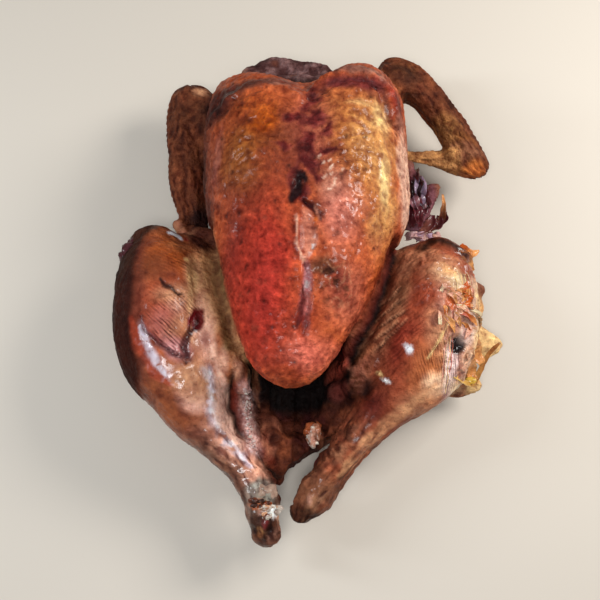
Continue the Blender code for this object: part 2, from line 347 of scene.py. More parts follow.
# Flesh that the plain solid leaves out: rolls through marks (u, v, w, radius in mm).
EXTRA_FLESH = (
    # Torn skin between the cavity and the right leg.
    ((0.600, 0.335, 0.34, 8), (0.566, 0.272, 0.27, 11), (0.540, 0.232, 0.21, 8)),
    # Left of the tail, at the cavity's left edge, and right of the tail.
    ((0.372, 0.250, 0.17, 8), (0.392, 0.215, 0.19, 9), (0.412, 0.165, 0.18, 8)),
    ((0.368, 0.330, 0.34, 4), (0.372, 0.300, 0.28, 5), (0.376, 0.272, 0.20, 5)),
    ((0.497, 0.222, 0.22, 5), (0.508, 0.208, 0.25, 6), (0.512, 0.196, 0.25, 4)),
    # The flank between the right wing and the right leg.
    ((0.748, 0.752, 0.37, 4), (0.762, 0.700, 0.35, 6), (0.764, 0.640, 0.32, 7)),
    # The left ankle.
    ((0.372, 0.100, 0.315, 10), (0.387, 0.086, 0.310, 8.5)),
    # Between the left wing and the left leg.
    ((0.160, 0.640, 0.25, 5), (0.190, 0.616, 0.27, 7), (0.240, 0.600, 0.30, 8), (0.272, 0.592, 0.34, 8)),
)

# Pushes of a thumb on the flesh, one after another: (place), reach in mm, (move in mm).
PUSHES = (
    ((0.500, 0.640, 1.00), 90, (0, 0, -2.2)),  # the top of the breast
    ((0.100, 0.615, 0.40), 30, (1.0, -2.4, 0)),  # the left knee
    ((0.872, 0.590, 0.42), 18, (-2.5, -4.5, -2.0)),  # the right knee
    ((0.735, 0.215, 0.38), 46, (-4.4, 6.8, 0)),  # the right leg's lower edge
    ((0.755, 0.870, 0.30), 20, (3.0, 3.5, 0)),  # the right wing's inner edge
    ((0.805, 0.832, 0.28), 20, (3.5, 3.5, 0)),
    ((0.160, 0.700, 0.25), 30, (-3.2, 0, 0)),  # the left wing
    ((0.430, 0.035, 0.26), 16, (-4.5, 0, 0)),  # the left foot's inner side
    ((0.415, 0.050, 0.27), 18, (-2.6, 0, 0)),
    ((0.412, 0.100, 0.30), 14, (-2.0, 0, 0)),
    ((0.348, 0.030, 0.25), 16, (4.5, 1.5, 0)),  # the left foot's outer side
    ((0.473, 0.030, 0.28), 14, (0, 2.5, 0)),  # the right foot's end
    ((0.850, 0.262, 0.24), 24, (-4.0, 5.5, 0)),  # the flap's lower edge
    ((0.600, 0.142, 0.30), 32, (-3.0, 3.4, 0)),  # the right shank's lower edge
    ((0.712, 0.790, 0.74), 26, (-2.6, 0, 0)),  # the breast's right side
    ((0.722, 0.600, 0.64), 26, (3.0, 0, 0)),
    ((0.452, 0.052, 0.28), 12, (3.4, 0, 0)),  # the right foot's left side
    ((0.905, 0.505, 0.36), 26, (-4.0, 0, 0)),  # the right thigh's outer side
    ((0.524, 0.038, 0.28), 14, (-3.0, 3.6, 0)),  # the right foot's right side
    ((0.434, 0.026, 0.25), 14, (-3.0, 0.5, 0)),  # the left foot again
    ((0.335, 0.075, 0.27), 18, (3.2, 0.6, 0)),
    ((0.284, 0.290, 0.38), 14, (1.6, 0, 0)),  # the left shank's inner side
    ((0.610, 0.885, 0.76), 34, (0, 6.5, 0)),  # the right shoulder
    ((0.660, 0.850, 0.80), 22, (1, 2.5, 0)),
    ((0.487, 0.840, 0.86), 15, (0, -2.5, -3)),  # the dip at the keel's neck end
    ((0.470, 0.022, 0.26), 14, (2, -0.5, 0)),  # the right foot again
    ((0.520, 0.080, 0.30), 26, (-2.6, 0.6, 0)),  # the right ankle
    ((0.117, 0.247, 0.35), 36, (3.8, 3.4, 0)),  # the left leg's outer side
    ((0.190, 0.165, 0.30), 26, (1.8, 2.0, 0)),
    ((0.685, 0.150, 0.30), 32, (-2.0, 2.6, 0)),  # the right shank's lower edge again
    ((0.935, 0.270, 0.20), 24, (-9.0, 5.0, 0)),  # the flap's far corner
)


# ------------ regions of the bird


def regions(p, n):
    """How much each point belongs to each region, from 0 to 1, and its u, v and w."""
    u, v, w = shares_of(p)
    soft = warped(p, 14, 2.0, 40)
    r = {
        "u": u,
        "v": v,
        "w": w,
        "left_leg": LEFT_LEG.near(soft),
        "right_leg": RIGHT_LEG.near(soft),
        "left_wing": np.maximum(LEFT_WING.near(soft, 1.15, 1.4), LEFT_SHOULDER.near(soft, 1.0, 1.3)),
        "right_wing": np.maximum.reduce([
            RIGHT_WING.near(soft, 1.2, 1.5),
            RIGHT_WING_TIP.near(soft, 1.5, 2.0),
            RIGHT_SHOULDER.near(soft, 1.0, 1.3),
        ]),
        "tail": TAIL.near(soft, 1.1, 1.6),
    }
    _, share, _ = CAVITY.measure(p)
    axis = place(0.46, 0, 0.42)
    inward = np.stack([axis[0] - p[:, 0], np.zeros(len(p)), axis[2] - p[:, 2]], axis=1)
    inward /= np.linalg.norm(inward, axis=1)[:, None] + 1e-9
    facing = smooth_step(0.0, 0.5, (n * inward).sum(axis=1))
    r["cavity"] = facing * (1 - smooth_step(1.1, 1.35, share)) * (1 - smooth_step(0.72, 0.80, v))
    r["underside"] = smooth_step(-0.05, -0.6, n[:, 2]) * (1 - r["cavity"])
    limbs = np.maximum.reduce([r[k] for k in ("left_leg", "right_leg", "left_wing", "right_wing")])
    neck = smooth_step(0.868, 0.90, v - 0.25 * np.maximum(w - 0.62, 0))
    r["neck"] = neck * (1 - smooth_step(0.13, 0.17, abs(u - 0.47))) * (1 - limbs)
    top = smooth_step(0.50, 0.62, w)
    r["breast"] = top * (1 - limbs) * (1 - r["cavity"]) * (1 - r["neck"])
    r["between"] = (1 - top) * (1 - limbs) * (1 - r["cavity"]) * (1 - r["neck"]) * (1 - r["tail"])
    return r


def part_of(r, here):
    """The same region shares, for some of the points alone."""
    return {name: share[here] for name, share in r.items()}


def high_enough(w):
    """0 on the bird's lower half, 1 on what shows from above."""
    return smooth_step(0.22, 0.34, w)


# ------------ relief, in mm


def crinkle(p):
    """Skin that shrank as it roasted: 1 on its ridges, 0 in its hollows."""
    return creases(warped(p, 7, 2.4, 51), 6.0, 3)


def fine_crinkle(p):
    """The same, on small folds between the larger ones."""
    return creases(warped(p, 4, 1.4, 52), 3.2, 4)


def arched(p, u, v, seed):
    """Short wrinkles that arch over the top of a muscle: 1 on their ridges, 0 in their troughs."""
    q = warped(p, 9, 2.6, seed) / MM
    x, y = q[:, 0] - place(u, 0)[0] / MM, q[:, 1] - place(0, v)[1] / MM
    bowed = np.column_stack((0.34 * x, y + 0.017 * x * x, 0.4 * q[:, 2])) * MM
    return creases(bowed, 3.0, seed + 3)


def skin_bumps(p):
    """Goose flesh: the distance from the middle of each bump."""
    return cells(warped(p, 5, 0.8, 54), 3.3, 6)[0]


def feather_pits(p):
    """The distance from each tiny pit where a feather was."""
    return cells(p, 4.4, 7)[0]


def blister_folds(p):
    """The crumpled skin of a burst blister."""
    return creases(warped(p, 5, 1.8, 53), 5.0, 5)


def neck_folds(p):
    """Deep dry folds, pulled together in the oven."""
    return creases(warped(p, 12, 3, 70), 12, 36, 3)


def torn_flesh(p):
    """Strings and tatters of torn flesh."""
    return creases(warped(p, 6, 2.4, 79), 6.5, 50, 3)


def beads(p):
    """The beads of gristle: distances from the nearest and from the next."""
    return cells(p, 2.6, 77)


def bead_ridge(p, r, width):
    """1 on the ridge of beads inside the cavity's left wall."""
    return bell(trace(warped(p, 6, 1.0, 78), BEADED_RIM)[0], width) * high_enough(r["w"])


def shrunken(p):
    """The wrinkles of both muscles together, 0 to 1, and how strongly they show."""
    left, right = oval(p, 0.36, 0.72, 38, 52, soft=0.7), oval(p, 0.60, 0.70, 38, 62, soft=0.7)
    across = smooth_step(0.44, 0.53, shares_of(p)[0])
    wrinkles = blend(arched(p, 0.36, 0.76, 210), arched(p, 0.60, 0.78, 220), across)
    return wrinkles, np.maximum(left, right)


def breast_relief(p, r):
    """The two muscles, the slit in the skin along the keel, folds at the shoulders, a blister."""
    soft = warped(p, 9, 1.4, 50)
    h = 0.9 * lumps(p, 26, 1) + 0.6 * lumps(p, 9, 2)
    h += 1.1 * (crinkle(p) - 0.8)
    h += 0.4 * (fine_crinkle(p) - 0.8)
    h -= 0.4 * smooth_step(0.1, 0.75, skin_bumps(p))
    wrinkles, share = shrunken(p)
    h += 1.2 * share * (wrinkles - 0.85)

    # The folds at the shoulders: a roll of skin with a trough behind it.
    distance, _, side = trace(soft, SHOULDER_FOLD)
    h += 2.6 * bell(distance + 1.5 * (side > 0), 3.0) - 3.0 * bell(distance - 4.6, 2.4) * (side > 0)
    distance, _, side = trace(soft, LEFT_SHOULDER_FOLD)
    h += 1.1 * bell(distance, 2.6) - 1.0 * bell(distance - 3.8, 2.0) * (side < 0)

    # The slit along the keel: raised edges, a sunken middle and tears at its ends.
    slit_left, slit_right = trace(soft, SLIT_LEFT)[0], trace(soft, SLIT_RIGHT)[0]
    h += 1.0 * bell(slit_left, 1.1) + 0.9 * bell(slit_right, 1.1)
    h -= 1.4 * oval(soft, 0.488, 0.530, 5.0, 13, turn=6, soft=0.5)
    h -= 2.2 * stroke(soft, SLIT_TEAR, 2.8)
    h -= 2.0 * oval(soft, 0.460, 0.612, 4.2, 9.5, turn=-16, soft=0.45)
    h += 0.9 * bell(trace(soft, ((0.478, 0.640), (0.474, 0.612), (0.482, 0.594)))[0], 1.4)
    h -= 1.8 * stroke(p, KEEL_GROOVE, 3.0) - 0.7 * bell(trace(soft, KEEL_GROOVE)[0] - 4.0, 1.8)
    h -= 1.3 * oval(soft, 0.490, 0.790, 8, 20, soft=0.8)

    # A blister that has burst, with crumpled brown skin round it.
    patch = oval(soft, 0.548, 0.447, 13, 17, turn=18, soft=0.6)
    h += patch * (1.6 * blister_folds(p) - 0.7)
    h += 1.6 * oval(soft, 0.522, 0.472, 7, 5, soft=0.7)
    h -= 1.0 * patch * bell(trace(soft, BLISTER_CREASE)[0], 1.2)

    # Tiny pits where the feathers were, each with a low rim.
    pits = feather_pits(p)
    h += 0.12 * bell(pits - 0.42, 0.2) - 0.30 * bell(pits, 0.20)
    # Below its top the breast is fuller on its left and at the neck, and flatter elsewhere.
    wide = np.maximum(smooth_step(0.60, 0.45, r["u"]), smooth_step(0.78, 0.84, r["v"]))
    return h + (2.0 * wide - 0.6) * smooth_step(0.98, 0.84, r["w"])


def left_thigh_relief(p, soft, fine):
    """Wrinkled skin that has peeled back from wet flesh, with a crack and a deep hole in it."""
    h = 0.4 * lumps(p, 5, 23)
    distance, _, side = trace(soft, PEELED_EDGE)
    on_edge = oval(p, 0.145, 0.375, 34, 24, soft=0.4)
    h += on_edge * (1.7 * bell(distance, 2.4) * (side < 0) - 2.0 * bell(distance, 2.4) * (side > 0))
    h -= 1.1 * stroke(fine, LEFT_CRACK, 1.7) + 0.9 * stroke(fine, ((0.165, 0.464), (0.195, 0.445)), 1.5)
    hole = 3.2 * oval(fine, 0.222, 0.405, 4.4, 8.4, turn=-14, soft=0.5)
    h -= hole + 1.9 * stroke(fine, LEFT_HOLE, 3.2)
    h += 0.9 * bell(trace(fine, ((0.206, 0.425), (0.202, 0.400), (0.190, 0.375)))[0], 1.2)
    h -= 1.6 * bell(trace(soft, ((0.205, 0.530), (0.214, 0.470), (0.226, 0.430)))[0], 2.2)
    return h + 1.2 * bell(trace(soft, ((0.228, 0.425), (0.245, 0.370), (0.250, 0.310)))[0], 3.0)


def right_thigh_relief(p, soft, fine):
    """A rolled rim at its top end, small wrinkles inside, and torn and pitted outside."""
    rim = trace(soft, RIGHT_RIM)[0]
    under_rim = trace(soft, [(u, v - 0.016) for u, v in RIGHT_RIM])[0]
    h = 1.8 * bell(rim, 2.3) - 1.5 * bell(under_rim, 2.6)
    torn = oval(soft, 0.850, 0.420, 26, 52, turn=18, soft=0.3)
    first, second = cells(warped(p, 6, 1.5, 25), 9, 26)
    h += torn * (3.0 * creases(p, 10, 27, 3) - 1.5 + 0.5 * first - 1.2 * bell(second - first, 0.10))
    h -= 3.6 * oval(fine, 0.842, 0.360, 5.4, 7.0, turn=-12, soft=0.5)
    h += 0.9 * bell(trace(fine, RIGHT_FOLD)[0], 1.1)
    for marks in RIGHT_WRINKLES:
        distance, _, side = trace(fine, marks)
        h += 0.9 * bell(distance, 1.4) * (side < 0) - 1.1 * bell(distance, 1.4) * (side > 0)
    return h


def leg_relief(p, r):
    """The thighs, and shanks with tendons along them, folds round them and knobbly cut ends."""
    soft, fine = warped(p, 8, 1.2, 60), warped(p, 4, 0.6, 61)
    h = 0.9 * lumps(p, 17, 21) + 0.4 * lumps(p, 6, 22) + 0.4 * crinkle(p) + 0.45 * fine_crinkle(p)
    for line, share in ((LEFT_LEG, r["left_leg"]), (RIGHT_LEG, r["right_leg"])):
        along, _, angle = line.measure(p)
        walked = along / line.length
        shank = smooth_step(0.56, 0.74, walked)
        ring = np.sin(along / MM * 0.8 + 2.2 * grain(p, 9, 30) + 0.8 * np.sin(2 * angle))
        cord = np.sin(3.0 * angle + 1.2 * grain(p, 22, 31))
        h += shank * share * (0.16 * ring + 1.1 * cord * (1 - smooth_step(0.86, 0.95, walked)) - 0.45)
        h += smooth_step(0.85, 0.93, walked) * share * (1.5 * creases(p, 9, 32, 2) - 0.8)
    left, right = left_thigh_relief(p, soft, fine), right_thigh_relief(p, soft, fine)
    return h + left * r["left_leg"] + right * r["right_leg"]


def wing_relief(p, r):
    """Leathery skin, streaked along the bone, with bumps where the quills sat."""
    h = 0.8 * lumps(p, 14, 33) + 0.4 * lumps(p, 5, 34)
    for line in (LEFT_WING, RIGHT_WING, RIGHT_WING_TIP):
        along, share, angle = line.measure(p)
        here = 1 - smooth_step(1.2, 1.6, share)
        h += here * 0.6 * np.sin(5 * angle + 1.8 * grain(p, 20, 35) + along / MM * 0.05)
        bumps = np.sin(along / MM * 0.8 + 2 * grain(p, 14, 48)) ** 2 * bell(abs(angle) - 1.5, 0.35)
        h += here * 0.5 * bumps
    return h


def neck_relief(p, r):
    """Neck skin, shrunk back into deep dry folds."""
    return 5.0 * neck_folds(p) - 3.0 + 0.6 * lumps(p, 5, 37)


def cavity_relief(p, r):
    """Inside: ribs and strings of flesh, coarser towards the opening."""
    along, _, angle = CAVITY.measure(p)
    ribs = np.sin(along / MM * 0.5 + 2.2 * grain(p, 25, 38))
    front = smooth_step(0.27, 0.20, r["v"])
    flesh = 3.4 * creases(warped(p, 9, 3, 71), 10, 39, 3) - 1.6
    flesh = flesh + 1.0 * creases(warped(p, 4, 1.4, 75), 3.6, 40) - 0.5
    return 0.7 * ribs + 1.3 * lumps(p, 8, 41) + front * flesh


def tail_relief(p, r):
    """The fat tail and the ragged flesh round it."""
    fine = 1.0 * creases(warped(p, 4, 1.4, 76), 3.6, 40) - 0.5
    return 3.2 * creases(warped(p, 9, 3, 72), 11, 42, 3) - 1.6 + 0.7 * lumps(p, 5, 43) + fine


def rough_relief(p, r):
    """Loose skin and flesh that fill in between the limbs, and the wrinkled back."""
    h = 1.0 * lumps(p, 16, 44) + 0.5 * lumps(p, 6, 45) + 0.8 * creases(warped(p, 8, 3, 73), 8, 47)
    torn = oval(p, 0.585, 0.275, 20, 36, turn=-24, soft=0.5)
    h += torn * (2.6 * torn_flesh(p) - 1.3)
    furrows = 0.4 * np.sin(p[:, 1] / MM * 0.9 + 2.5 * grain(p, 18, 46))
    return h + furrows * smooth_step(0, 0.6, grain(p, 20, 49))


def relief(p, n):
    """How far each point of the smooth solid moves along its normal, in mm."""
    r = regions(p, n)
    h = np.zeros(len(p))
    for share, shaped in (
        (r["breast"], breast_relief),
        (np.maximum(r["left_leg"], r["right_leg"]), leg_relief),
        (np.maximum(r["left_wing"], r["right_wing"]), wing_relief),
        (r["neck"], neck_relief),
        (r["cavity"], cavity_relief),
        (r["tail"] * (1 - r["cavity"]), tail_relief),
        (r["between"], rough_relief),
    ):
        here = share > BARELY
        h[here] += share[here] * shaped(p[here], part_of(r, here))

    # Deep gaps where the legs part from the breast, and along the left wall of the cavity.
    soft = warped(p, 7, 1.4, 74)
    low = smooth_step(0.35, 0.45, r["w"]) * smooth_step(0.74, 0.64, r["w"])
    h -= 4.5 * bell(trace(soft, LEFT_GAP)[0], 4.0) * low
    h -= 5.5 * bell(trace(soft, RIGHT_GAP)[0], 3.4) * low
    h -= 2.2 * bell(trace(soft, LEFT_WALL)[0], 1.8) * smooth_step(0.25, 0.35, r["w"]) * (n[:, 2] > -0.2)
    # The ridge of beads inside that wall.
    h += bead_ridge(p, r, 2.8) * (1.2 + 1.0 * smooth_step(0.55, 0.15, beads(p)[0]))
    # The flat that the bird rests on stays flat.
    return h * smooth_step(0.3, 3.0, (p[:, 2] - LOW[2]) / MM)


# ------------ fine lines


def fine_lines(p, n):
    """Wrinkles too fine for the mesh: their count across the skin, and how deep they are."""
    r = regions(p, n)
    x, y = p[:, 0] / MM, p[:, 1] / MM
    count, depth = np.zeros(len(p)), np.zeros(len(p))

    def lay(lines, share):
        """Lays lines where they show more than those laid before."""
        here = share > depth
        count[here], depth[here] = lines[here], share[here]

    wander = grain(p, 15, 200)
    waver = grain(p, 5, 201)
    patchy = smooth_step(-0.3, 0.4, grain(p, 13, 203))
    # Rings on the breast, and lines along the wings.
    rings = np.hypot(x - place(0.55, 0)[0] / MM, y - place(0, 0.62)[1] / MM)
    muscle = r["breast"] * oval(p, 0.60, 0.74, 38, 50, soft=0.7)
    lay(rings / 2.8 + 1.7 * wander + 0.5 * waver, muscle * patchy * 0.4)
    for line, wing in ((LEFT_WING, "left_wing"), (RIGHT_WING, "right_wing")):
        _, _, angle = line.measure(p)
        lay(angle * 1.7 + 0.8 * wander + 0.3 * waver, r[wing] * 0.8)
    # The left thigh, where it still has its skin.
    skin = smooth_step(0.6, -0.6, trace(warped(p, 8, 1.2, 60), PEELED_EDGE)[2])
    run = (0.669 * x + 0.743 * y) / 1.75
    wrinkly = r["left_leg"] * oval(p, 0.155, 0.388, 20, 27, -48, 0.5) * skin
    lay(run + 0.40 * wander + 0.14 * waver, wrinkly * 0.9)
    run = (0.45 * x + 0.89 * y) / 2.2
    smoother = r["left_leg"] * oval(p, 0.140, 0.505, 24, 30, 0, 0.6) * skin
    lay(run + 0.8 * wander + 0.3 * waver, smoother * 0.35)
    # The right thigh, from its inner side to its torn outer side.
    run = (-0.62 * x + 0.78 * y) / 2.2
    lay(run + 0.9 * wander + 0.3 * waver, r["right_leg"] * oval(p, 0.695, 0.385, 20, 52, -24, 0.5) * 0.35)
    run = (0.97 * x + 0.25 * y) / 1.6
    lay(run + 0.6 * wander + 0.3 * waver, r["right_leg"] * oval(p, 0.785, 0.330, 16, 20, -20, 0.5) * 0.8)
    lay(x / 1.3 + 0.5 * wander + 0.3 * waver, oval(p, 0.828, 0.322, 7, 20, -6, 0.5) * 0.9)
    # Along the shanks, and along the ribs in the cavity.
    for line, leg in ((LEFT_LEG, "left_leg"), (RIGHT_LEG, "right_leg")):
        along, _, angle = line.measure(p)
        shank = smooth_step(0.55, 0.68, along / line.length)
        lay(angle * 2.2 + 0.5 * wander + 0.2 * waver, r[leg] * shank * 0.9)
    _, _, angle = CAVITY.measure(p)
    lay(angle * 5 + 0.8 * wander + 0.4 * waver, r["cavity"] * 0.5)
    return count, np.clip(depth * smooth_step(-0.9, 0.1, grain(p, 8, 202)), 0, 1)


# ------------ colour


def shade(red, green, blue):
    """A colour as it looks on a screen, 0 to 255, turned into light."""
    c = np.array((red, green, blue)) / 255
    return np.where(c <= 0.04045, c / 12.92, ((c + 0.055) / 1.055) ** 2.4)


ROAST = shade(184, 84, 46)
DEEP_RED = shade(170, 50, 34)
SCARLET = shade(182, 48, 40)
BRICK = shade(150, 62, 40)
ORANGE = shade(196, 88, 22)
AMBER = shade(178, 108, 52)
GOLD = shade(214, 146, 84)
STRAW = shade(242, 206, 140)
PINK = shade(196, 108, 90)
MAUVE = shade(150, 96, 104)
PLUM = shade(84, 32, 38)
CHAR = shade(38, 16, 16)
TAN = shade(196, 140, 104)
DULL_TAN = shade(150, 108, 78)
UMBER = shade(98, 50, 30)
DARK_UMBER = shade(52, 26, 16)
FAT = shade(232, 208, 166)
GRISTLE = shade(196, 186, 172)
# Near black, for painted shade and shadow in gaps, grooves and the cavity.
HOLLOW_SHADE = shade(12, 5, 4)
MAROON = shade(104, 30, 32)
FLESH = shade(226, 164, 138)
OLIVE = shade(110, 78, 48)
# A pale colour for painted highlights and glints.
PAINTED_HIGHLIGHT = shade(226, 214, 212)


def mix(tone, colour, share):
    """Lays this colour over the tones, by a share at each point."""
    return blend(tone, colour, np.clip(share, 0, 1)[:, None])


def layered(tone, layers):
    """Lays colours over the tones, one after another, each by its own share."""
    for colour, share in layers:
        tone = mix(tone, colour, share)
    return tone


def tinted(tone, factors, share):
    """Brings the tones towards themselves times these red, green and blue factors."""
    return mix(tone, tone * np.array(factors), share)


def plain(colour, p):
    """One colour at every point."""
    return np.tile(colour, (len(p), 1))


def patched(tone, p, patches, seed):
    """Lays patches of colour: colour, place, half sizes in mm, turn, softness and share."""
    soft, ragged = warped(p, 16, 3.5, seed), warped(p, 5, 1.8, seed + 4)
    for colour, u, v, across, along, turn, softness, share in patches:
        on = ragged if min(across, along) < 11 else soft
        tone = mix(tone, colour, oval(on, u, v, across, along, turn, softness) * share)
    return tone


BREAST_PATCHES = (
    (DEEP_RED, 0.365, 0.47, 34, 84, -6, 0.7, 0.95),
    (DEEP_RED, 0.42, 0.36, 30, 34, 0, 0.7, 0.6),
    (SCARLET, 0.385, 0.44, 18, 48, -6, 0.9, 0.6),
    (MAROON, 0.300, 0.52, 12, 50, -4, 0.9, 0.45),
    (BRICK, 0.33, 0.68, 36, 50, 0, 0.7, 0.85),
    (UMBER, 0.43, 0.70, 16, 34, 0, 0.8, 0.55),
    (AMBER * 0.85, 0.33, 0.69, 24, 32, 0, 0.9, 0.6),
    (AMBER, 0.60, 0.70, 34, 56, 0, 0.7, 0.75),
    (BRICK, 0.53, 0.66, 17, 40, 0, 0.8, 0.6),
    (GOLD, 0.650, 0.715, 20, 44, 4, 0.8, 0.75),
    (GOLD, 0.665, 0.57, 11, 36, -8, 0.8, 0.85),
    (STRAW, 0.665, 0.775, 9, 15, 0, 0.8, 0.5),
    (STRAW, 0.670, 0.645, 5, 26, 0, 0.8, 0.65),
    (STRAW, 0.615, 0.795, 12, 4, 0, 0.8, 0.3),
    (ROAST, 0.635, 0.475, 18, 30, -14, 0.8, 0.6),
    (ORANGE, 0.665, 0.480, 8, 30, -12, 0.9, 0.5),
    (PINK, 0.56, 0.57, 19, 30, 0, 0.8, 0.95),
    (PINK, 0.57, 0.43, 20, 26, 0, 0.8, 0.45),
    (shade(232, 116, 94), 0.488, 0.328, 21, 13, 0, 0.9, 0.9),
    (ORANGE * 0.85, 0.383, 0.752, 14, 12, 0, 0.6, 0.9),
    (ORANGE * 0.7, 0.350, 0.790, 20, 8, 10, 0.8, 0.4),
    (shade(132, 84, 72), 0.38, 0.842, 32, 6, 4, 0.7, 0.85),
    (shade(78, 27, 18), 0.270, 0.812, 21, 20, -25, 0.7, 0.95),
    (CHAR, 0.262, 0.795, 9, 11, 0, 0.8, 0.85),
    (shade(78, 27, 18), 0.30, 0.835, 26, 6, 8, 0.7, 0.8),
    (shade(124, 70, 58), 0.242, 0.66, 8, 50, 0, 0.8, 0.6),
    (MAUVE * 0.8, 0.270, 0.70, 4, 26, -4, 0.8, 0.35),
    # Painted shade down the breast's left edge.
    (shade(60, 26, 18), 0.222, 0.690, 7, 54, 0, 0.7, 0.9),
    (shade(120, 42, 40), 0.602, 0.842, 31, 8.0, 0, 0.6, 0.95),
    (MAROON, 0.650, 0.822, 14, 6, -20, 0.9, 0.5),
    (shade(146, 92, 76), 0.595, 0.876, 32, 5.0, -2, 0.6, 0.95),
    (shade(186, 124, 104), 0.672, 0.862, 12, 5, -40, 0.7, 0.8),
    (DEEP_RED * 0.8, 0.700, 0.830, 6, 16, 16, 0.8, 0.75),
    (PLUM, 0.715, 0.812, 4, 18, 6, 0.7, 0.6),
    (shade(234, 180, 154), 0.730, 0.660, 7, 52, 3, 0.6, 0.95),
    # Painted shade low on the breast's right side, beside the gap to the leg.
    (shade(96, 16, 12), 0.672, 0.470, 7, 34, -16, 0.7, 0.85),
    (shade(96, 16, 12), 0.628, 0.395, 8, 22, -32, 0.7, 0.75),
    (BRICK, 0.41, 0.665, 24, 14, 0, 0.8, 0.6),
    (shade(150, 74, 60), 0.495, 0.730, 20, 42, 0, 0.9, 0.7),
    (shade(200, 130, 106), 0.540, 0.618, 13, 14, -20, 0.9, 0.6),
    # The skin that has split open along the keel.
    (shade(190, 112, 90), 0.488, 0.530, 5.4, 15, 6, 0.35, 0.9),
    (ORANGE * 0.8, 0.506, 0.562, 2.6, 5, 0, 0.6, 0.8),
    (MAUVE * 1.2, 0.488, 0.455, 3.8, 13, 2, 0.6, 0.8),
    (MAUVE * 0.9, 0.480, 0.400, 4.2, 16, 4, 0.6, 0.5),
    (DEEP_RED * 0.6, 0.468, 0.382, 8, 3, 0, 0.7, 0.8),
    (shade(116, 36, 24), 0.548, 0.450, 15, 19, 18, 0.8, 0.75),
    (UMBER, 0.522, 0.472, 9, 6.5, 0, 0.6, 0.85),
    (CHAR, 0.535, 0.462, 6, 2.2, 20, 0.6, 0.8),
)

# Where the keel has scorched, as (u, v, half sizes in mm).
KEEL_SCORCH = (
    (0.500, 0.800, 10, 15),
    (0.462, 0.760, 15, 8),
    (0.506, 0.748, 12, 8),
    (0.494, 0.700, 9, 12),
    (0.532, 0.690, 4, 6),
    (0.492, 0.660, 12, 10),
    (0.440, 0.700, 7, 6),
    (0.515, 0.640, 8, 6),
    (0.466, 0.620, 8, 12),
    (0.538, 0.722, 5, 5),
)

# The dark wedge at the top of the split, painted shadow in a dip of the skin, as (u, v, half sizes in mm,
# turn).
SPLIT_WEDGE = (
    (0.463, 0.622, 5.6, 9.5, -22),
    (0.453, 0.599, 4.6, 6, 0),
    (0.470, 0.637, 2.8, 5.4, 30),
)

# Dark red spots low on the breast, as (u, v, radius in mm).
BREAST_SPOTS = (
    (0.328, 0.525, 2.4),
    (0.331, 0.504, 1.6),
    (0.350, 0.435, 1.8),
    (0.388, 0.410, 1.5),
    (0.300, 0.580, 1.6),
    (0.372, 0.560, 1.3),
    (0.345, 0.480, 1.2),
    (0.600, 0.400, 1.5),
    (0.640, 0.520, 1.4),
)


def keel_scorch(tone, p):
    """Ragged scorch marks down the keel, darkest at their middles."""
    ripped = 0.6 * lumps(warped(p, 6, 2.2, 89), 5.0, 88, 4)
    torn = warped(warped(p, 9, 4.2, 95), 4, 1.8, 98)
    heat = np.maximum.reduce([oval(torn, u, v, a, b, soft=1.0) for u, v, a, b in KEEL_SCORCH])
    tone = mix(tone, shade(136, 56, 40), smooth_step(0.12, 0.40, heat + ripped) * 0.65)
    tone = mix(tone, MAROON, smooth_step(0.34, 0.54, heat + ripped) * 0.66)
    return mix(tone, shade(78, 10, 14), smooth_step(0.62, 0.82, heat + ripped) * 0.8)


def glints_and_scratches(tone, p):
    """Pale streaks beside the split, painted glints, with every fourth one a dark scratch instead."""
    fine = warped(p, 3, 0.7, 123)
    for k in range(16):
        a, b, c, d = draws(4, k, 14, 61)
        u, v, lean = 0.508 + 0.062 * a, 0.604 + 0.070 * b, 0.25 + 0.9 * c
        reach = (0.006 + 0.010 * d) * np.array((math.cos(lean), math.sin(lean) * 0.77))
        # Pale streaks are painted glints; every fourth, dark, is a scratch in the skin.
        colour = shade(122, 52, 44) if k % 4 == 3 else shade(236, 192, 168)
        tone = mix(tone, colour, stroke(fine, ((u, v), (u + reach[0], v + reach[1])), 1.0) * 0.7)
    return tone


def split_skin(tone, p, ragged):
    """The split along the keel: a dark wedge of painted shadow at its top, pale worn edges, and wet flesh
    with painted highlights.
    """
    frayed, patchy = warped(p, 3.5, 1.6, 92), smooth_step(-1.0, -0.3, grain(p, 3, 93))
    # The dark wedge is painted shadow.
    for u, v, across, along, turn in SPLIT_WEDGE:
        wedge = oval(frayed, u, v, across, along, turn, soft=0.5)
        tone = mix(tone, blend(CHAR * 0.4, PLUM * 0.5, 0.3), wedge * patchy)
    tone = mix(tone, MAROON * 0.4, stroke(ragged, SLIT_TEAR, 4.4))
    tone = glints_and_scratches(tone, p)
    worn = smooth_step(-0.8, 0.0, grain(p, 7, 86))
    tone = mix(tone, shade(236, 176, 150), bell(trace(ragged, SLIT_LEFT)[0], 0.8) * worn * 0.85)
    tone = mix(tone, DEEP_RED * 0.5, bell(trace(ragged, SLIT_LEFT)[0] - 2.0, 0.9) * 0.6)
    tone = mix(tone, shade(206, 130, 104), bell(trace(ragged, SLIT_RIGHT)[0], 0.9) * worn * 0.8)
    # Two pale marks of painted highlight on the wet flesh in the split.
    wet = oval(ragged, 0.499, 0.508, 1.6, 8, turn=-10, soft=0.8) * smooth_step(-0.3, 0.1, grain(p, 2.2, 87))
    tone = mix(tone, PAINTED_HIGHLIGHT, wet * 0.8)
    wet = oval(ragged, 0.488, 0.448, 1.8, 10, soft=0.8) * smooth_step(-0.2, 0.3, grain(p, 3, 91))
    tone = mix(tone, PAINTED_HIGHLIGHT * 0.8, wet * 0.8)
    return mix(tone, MAROON * 0.6, stroke(ragged, KEEL_CREASE, 2.2) * 0.85)


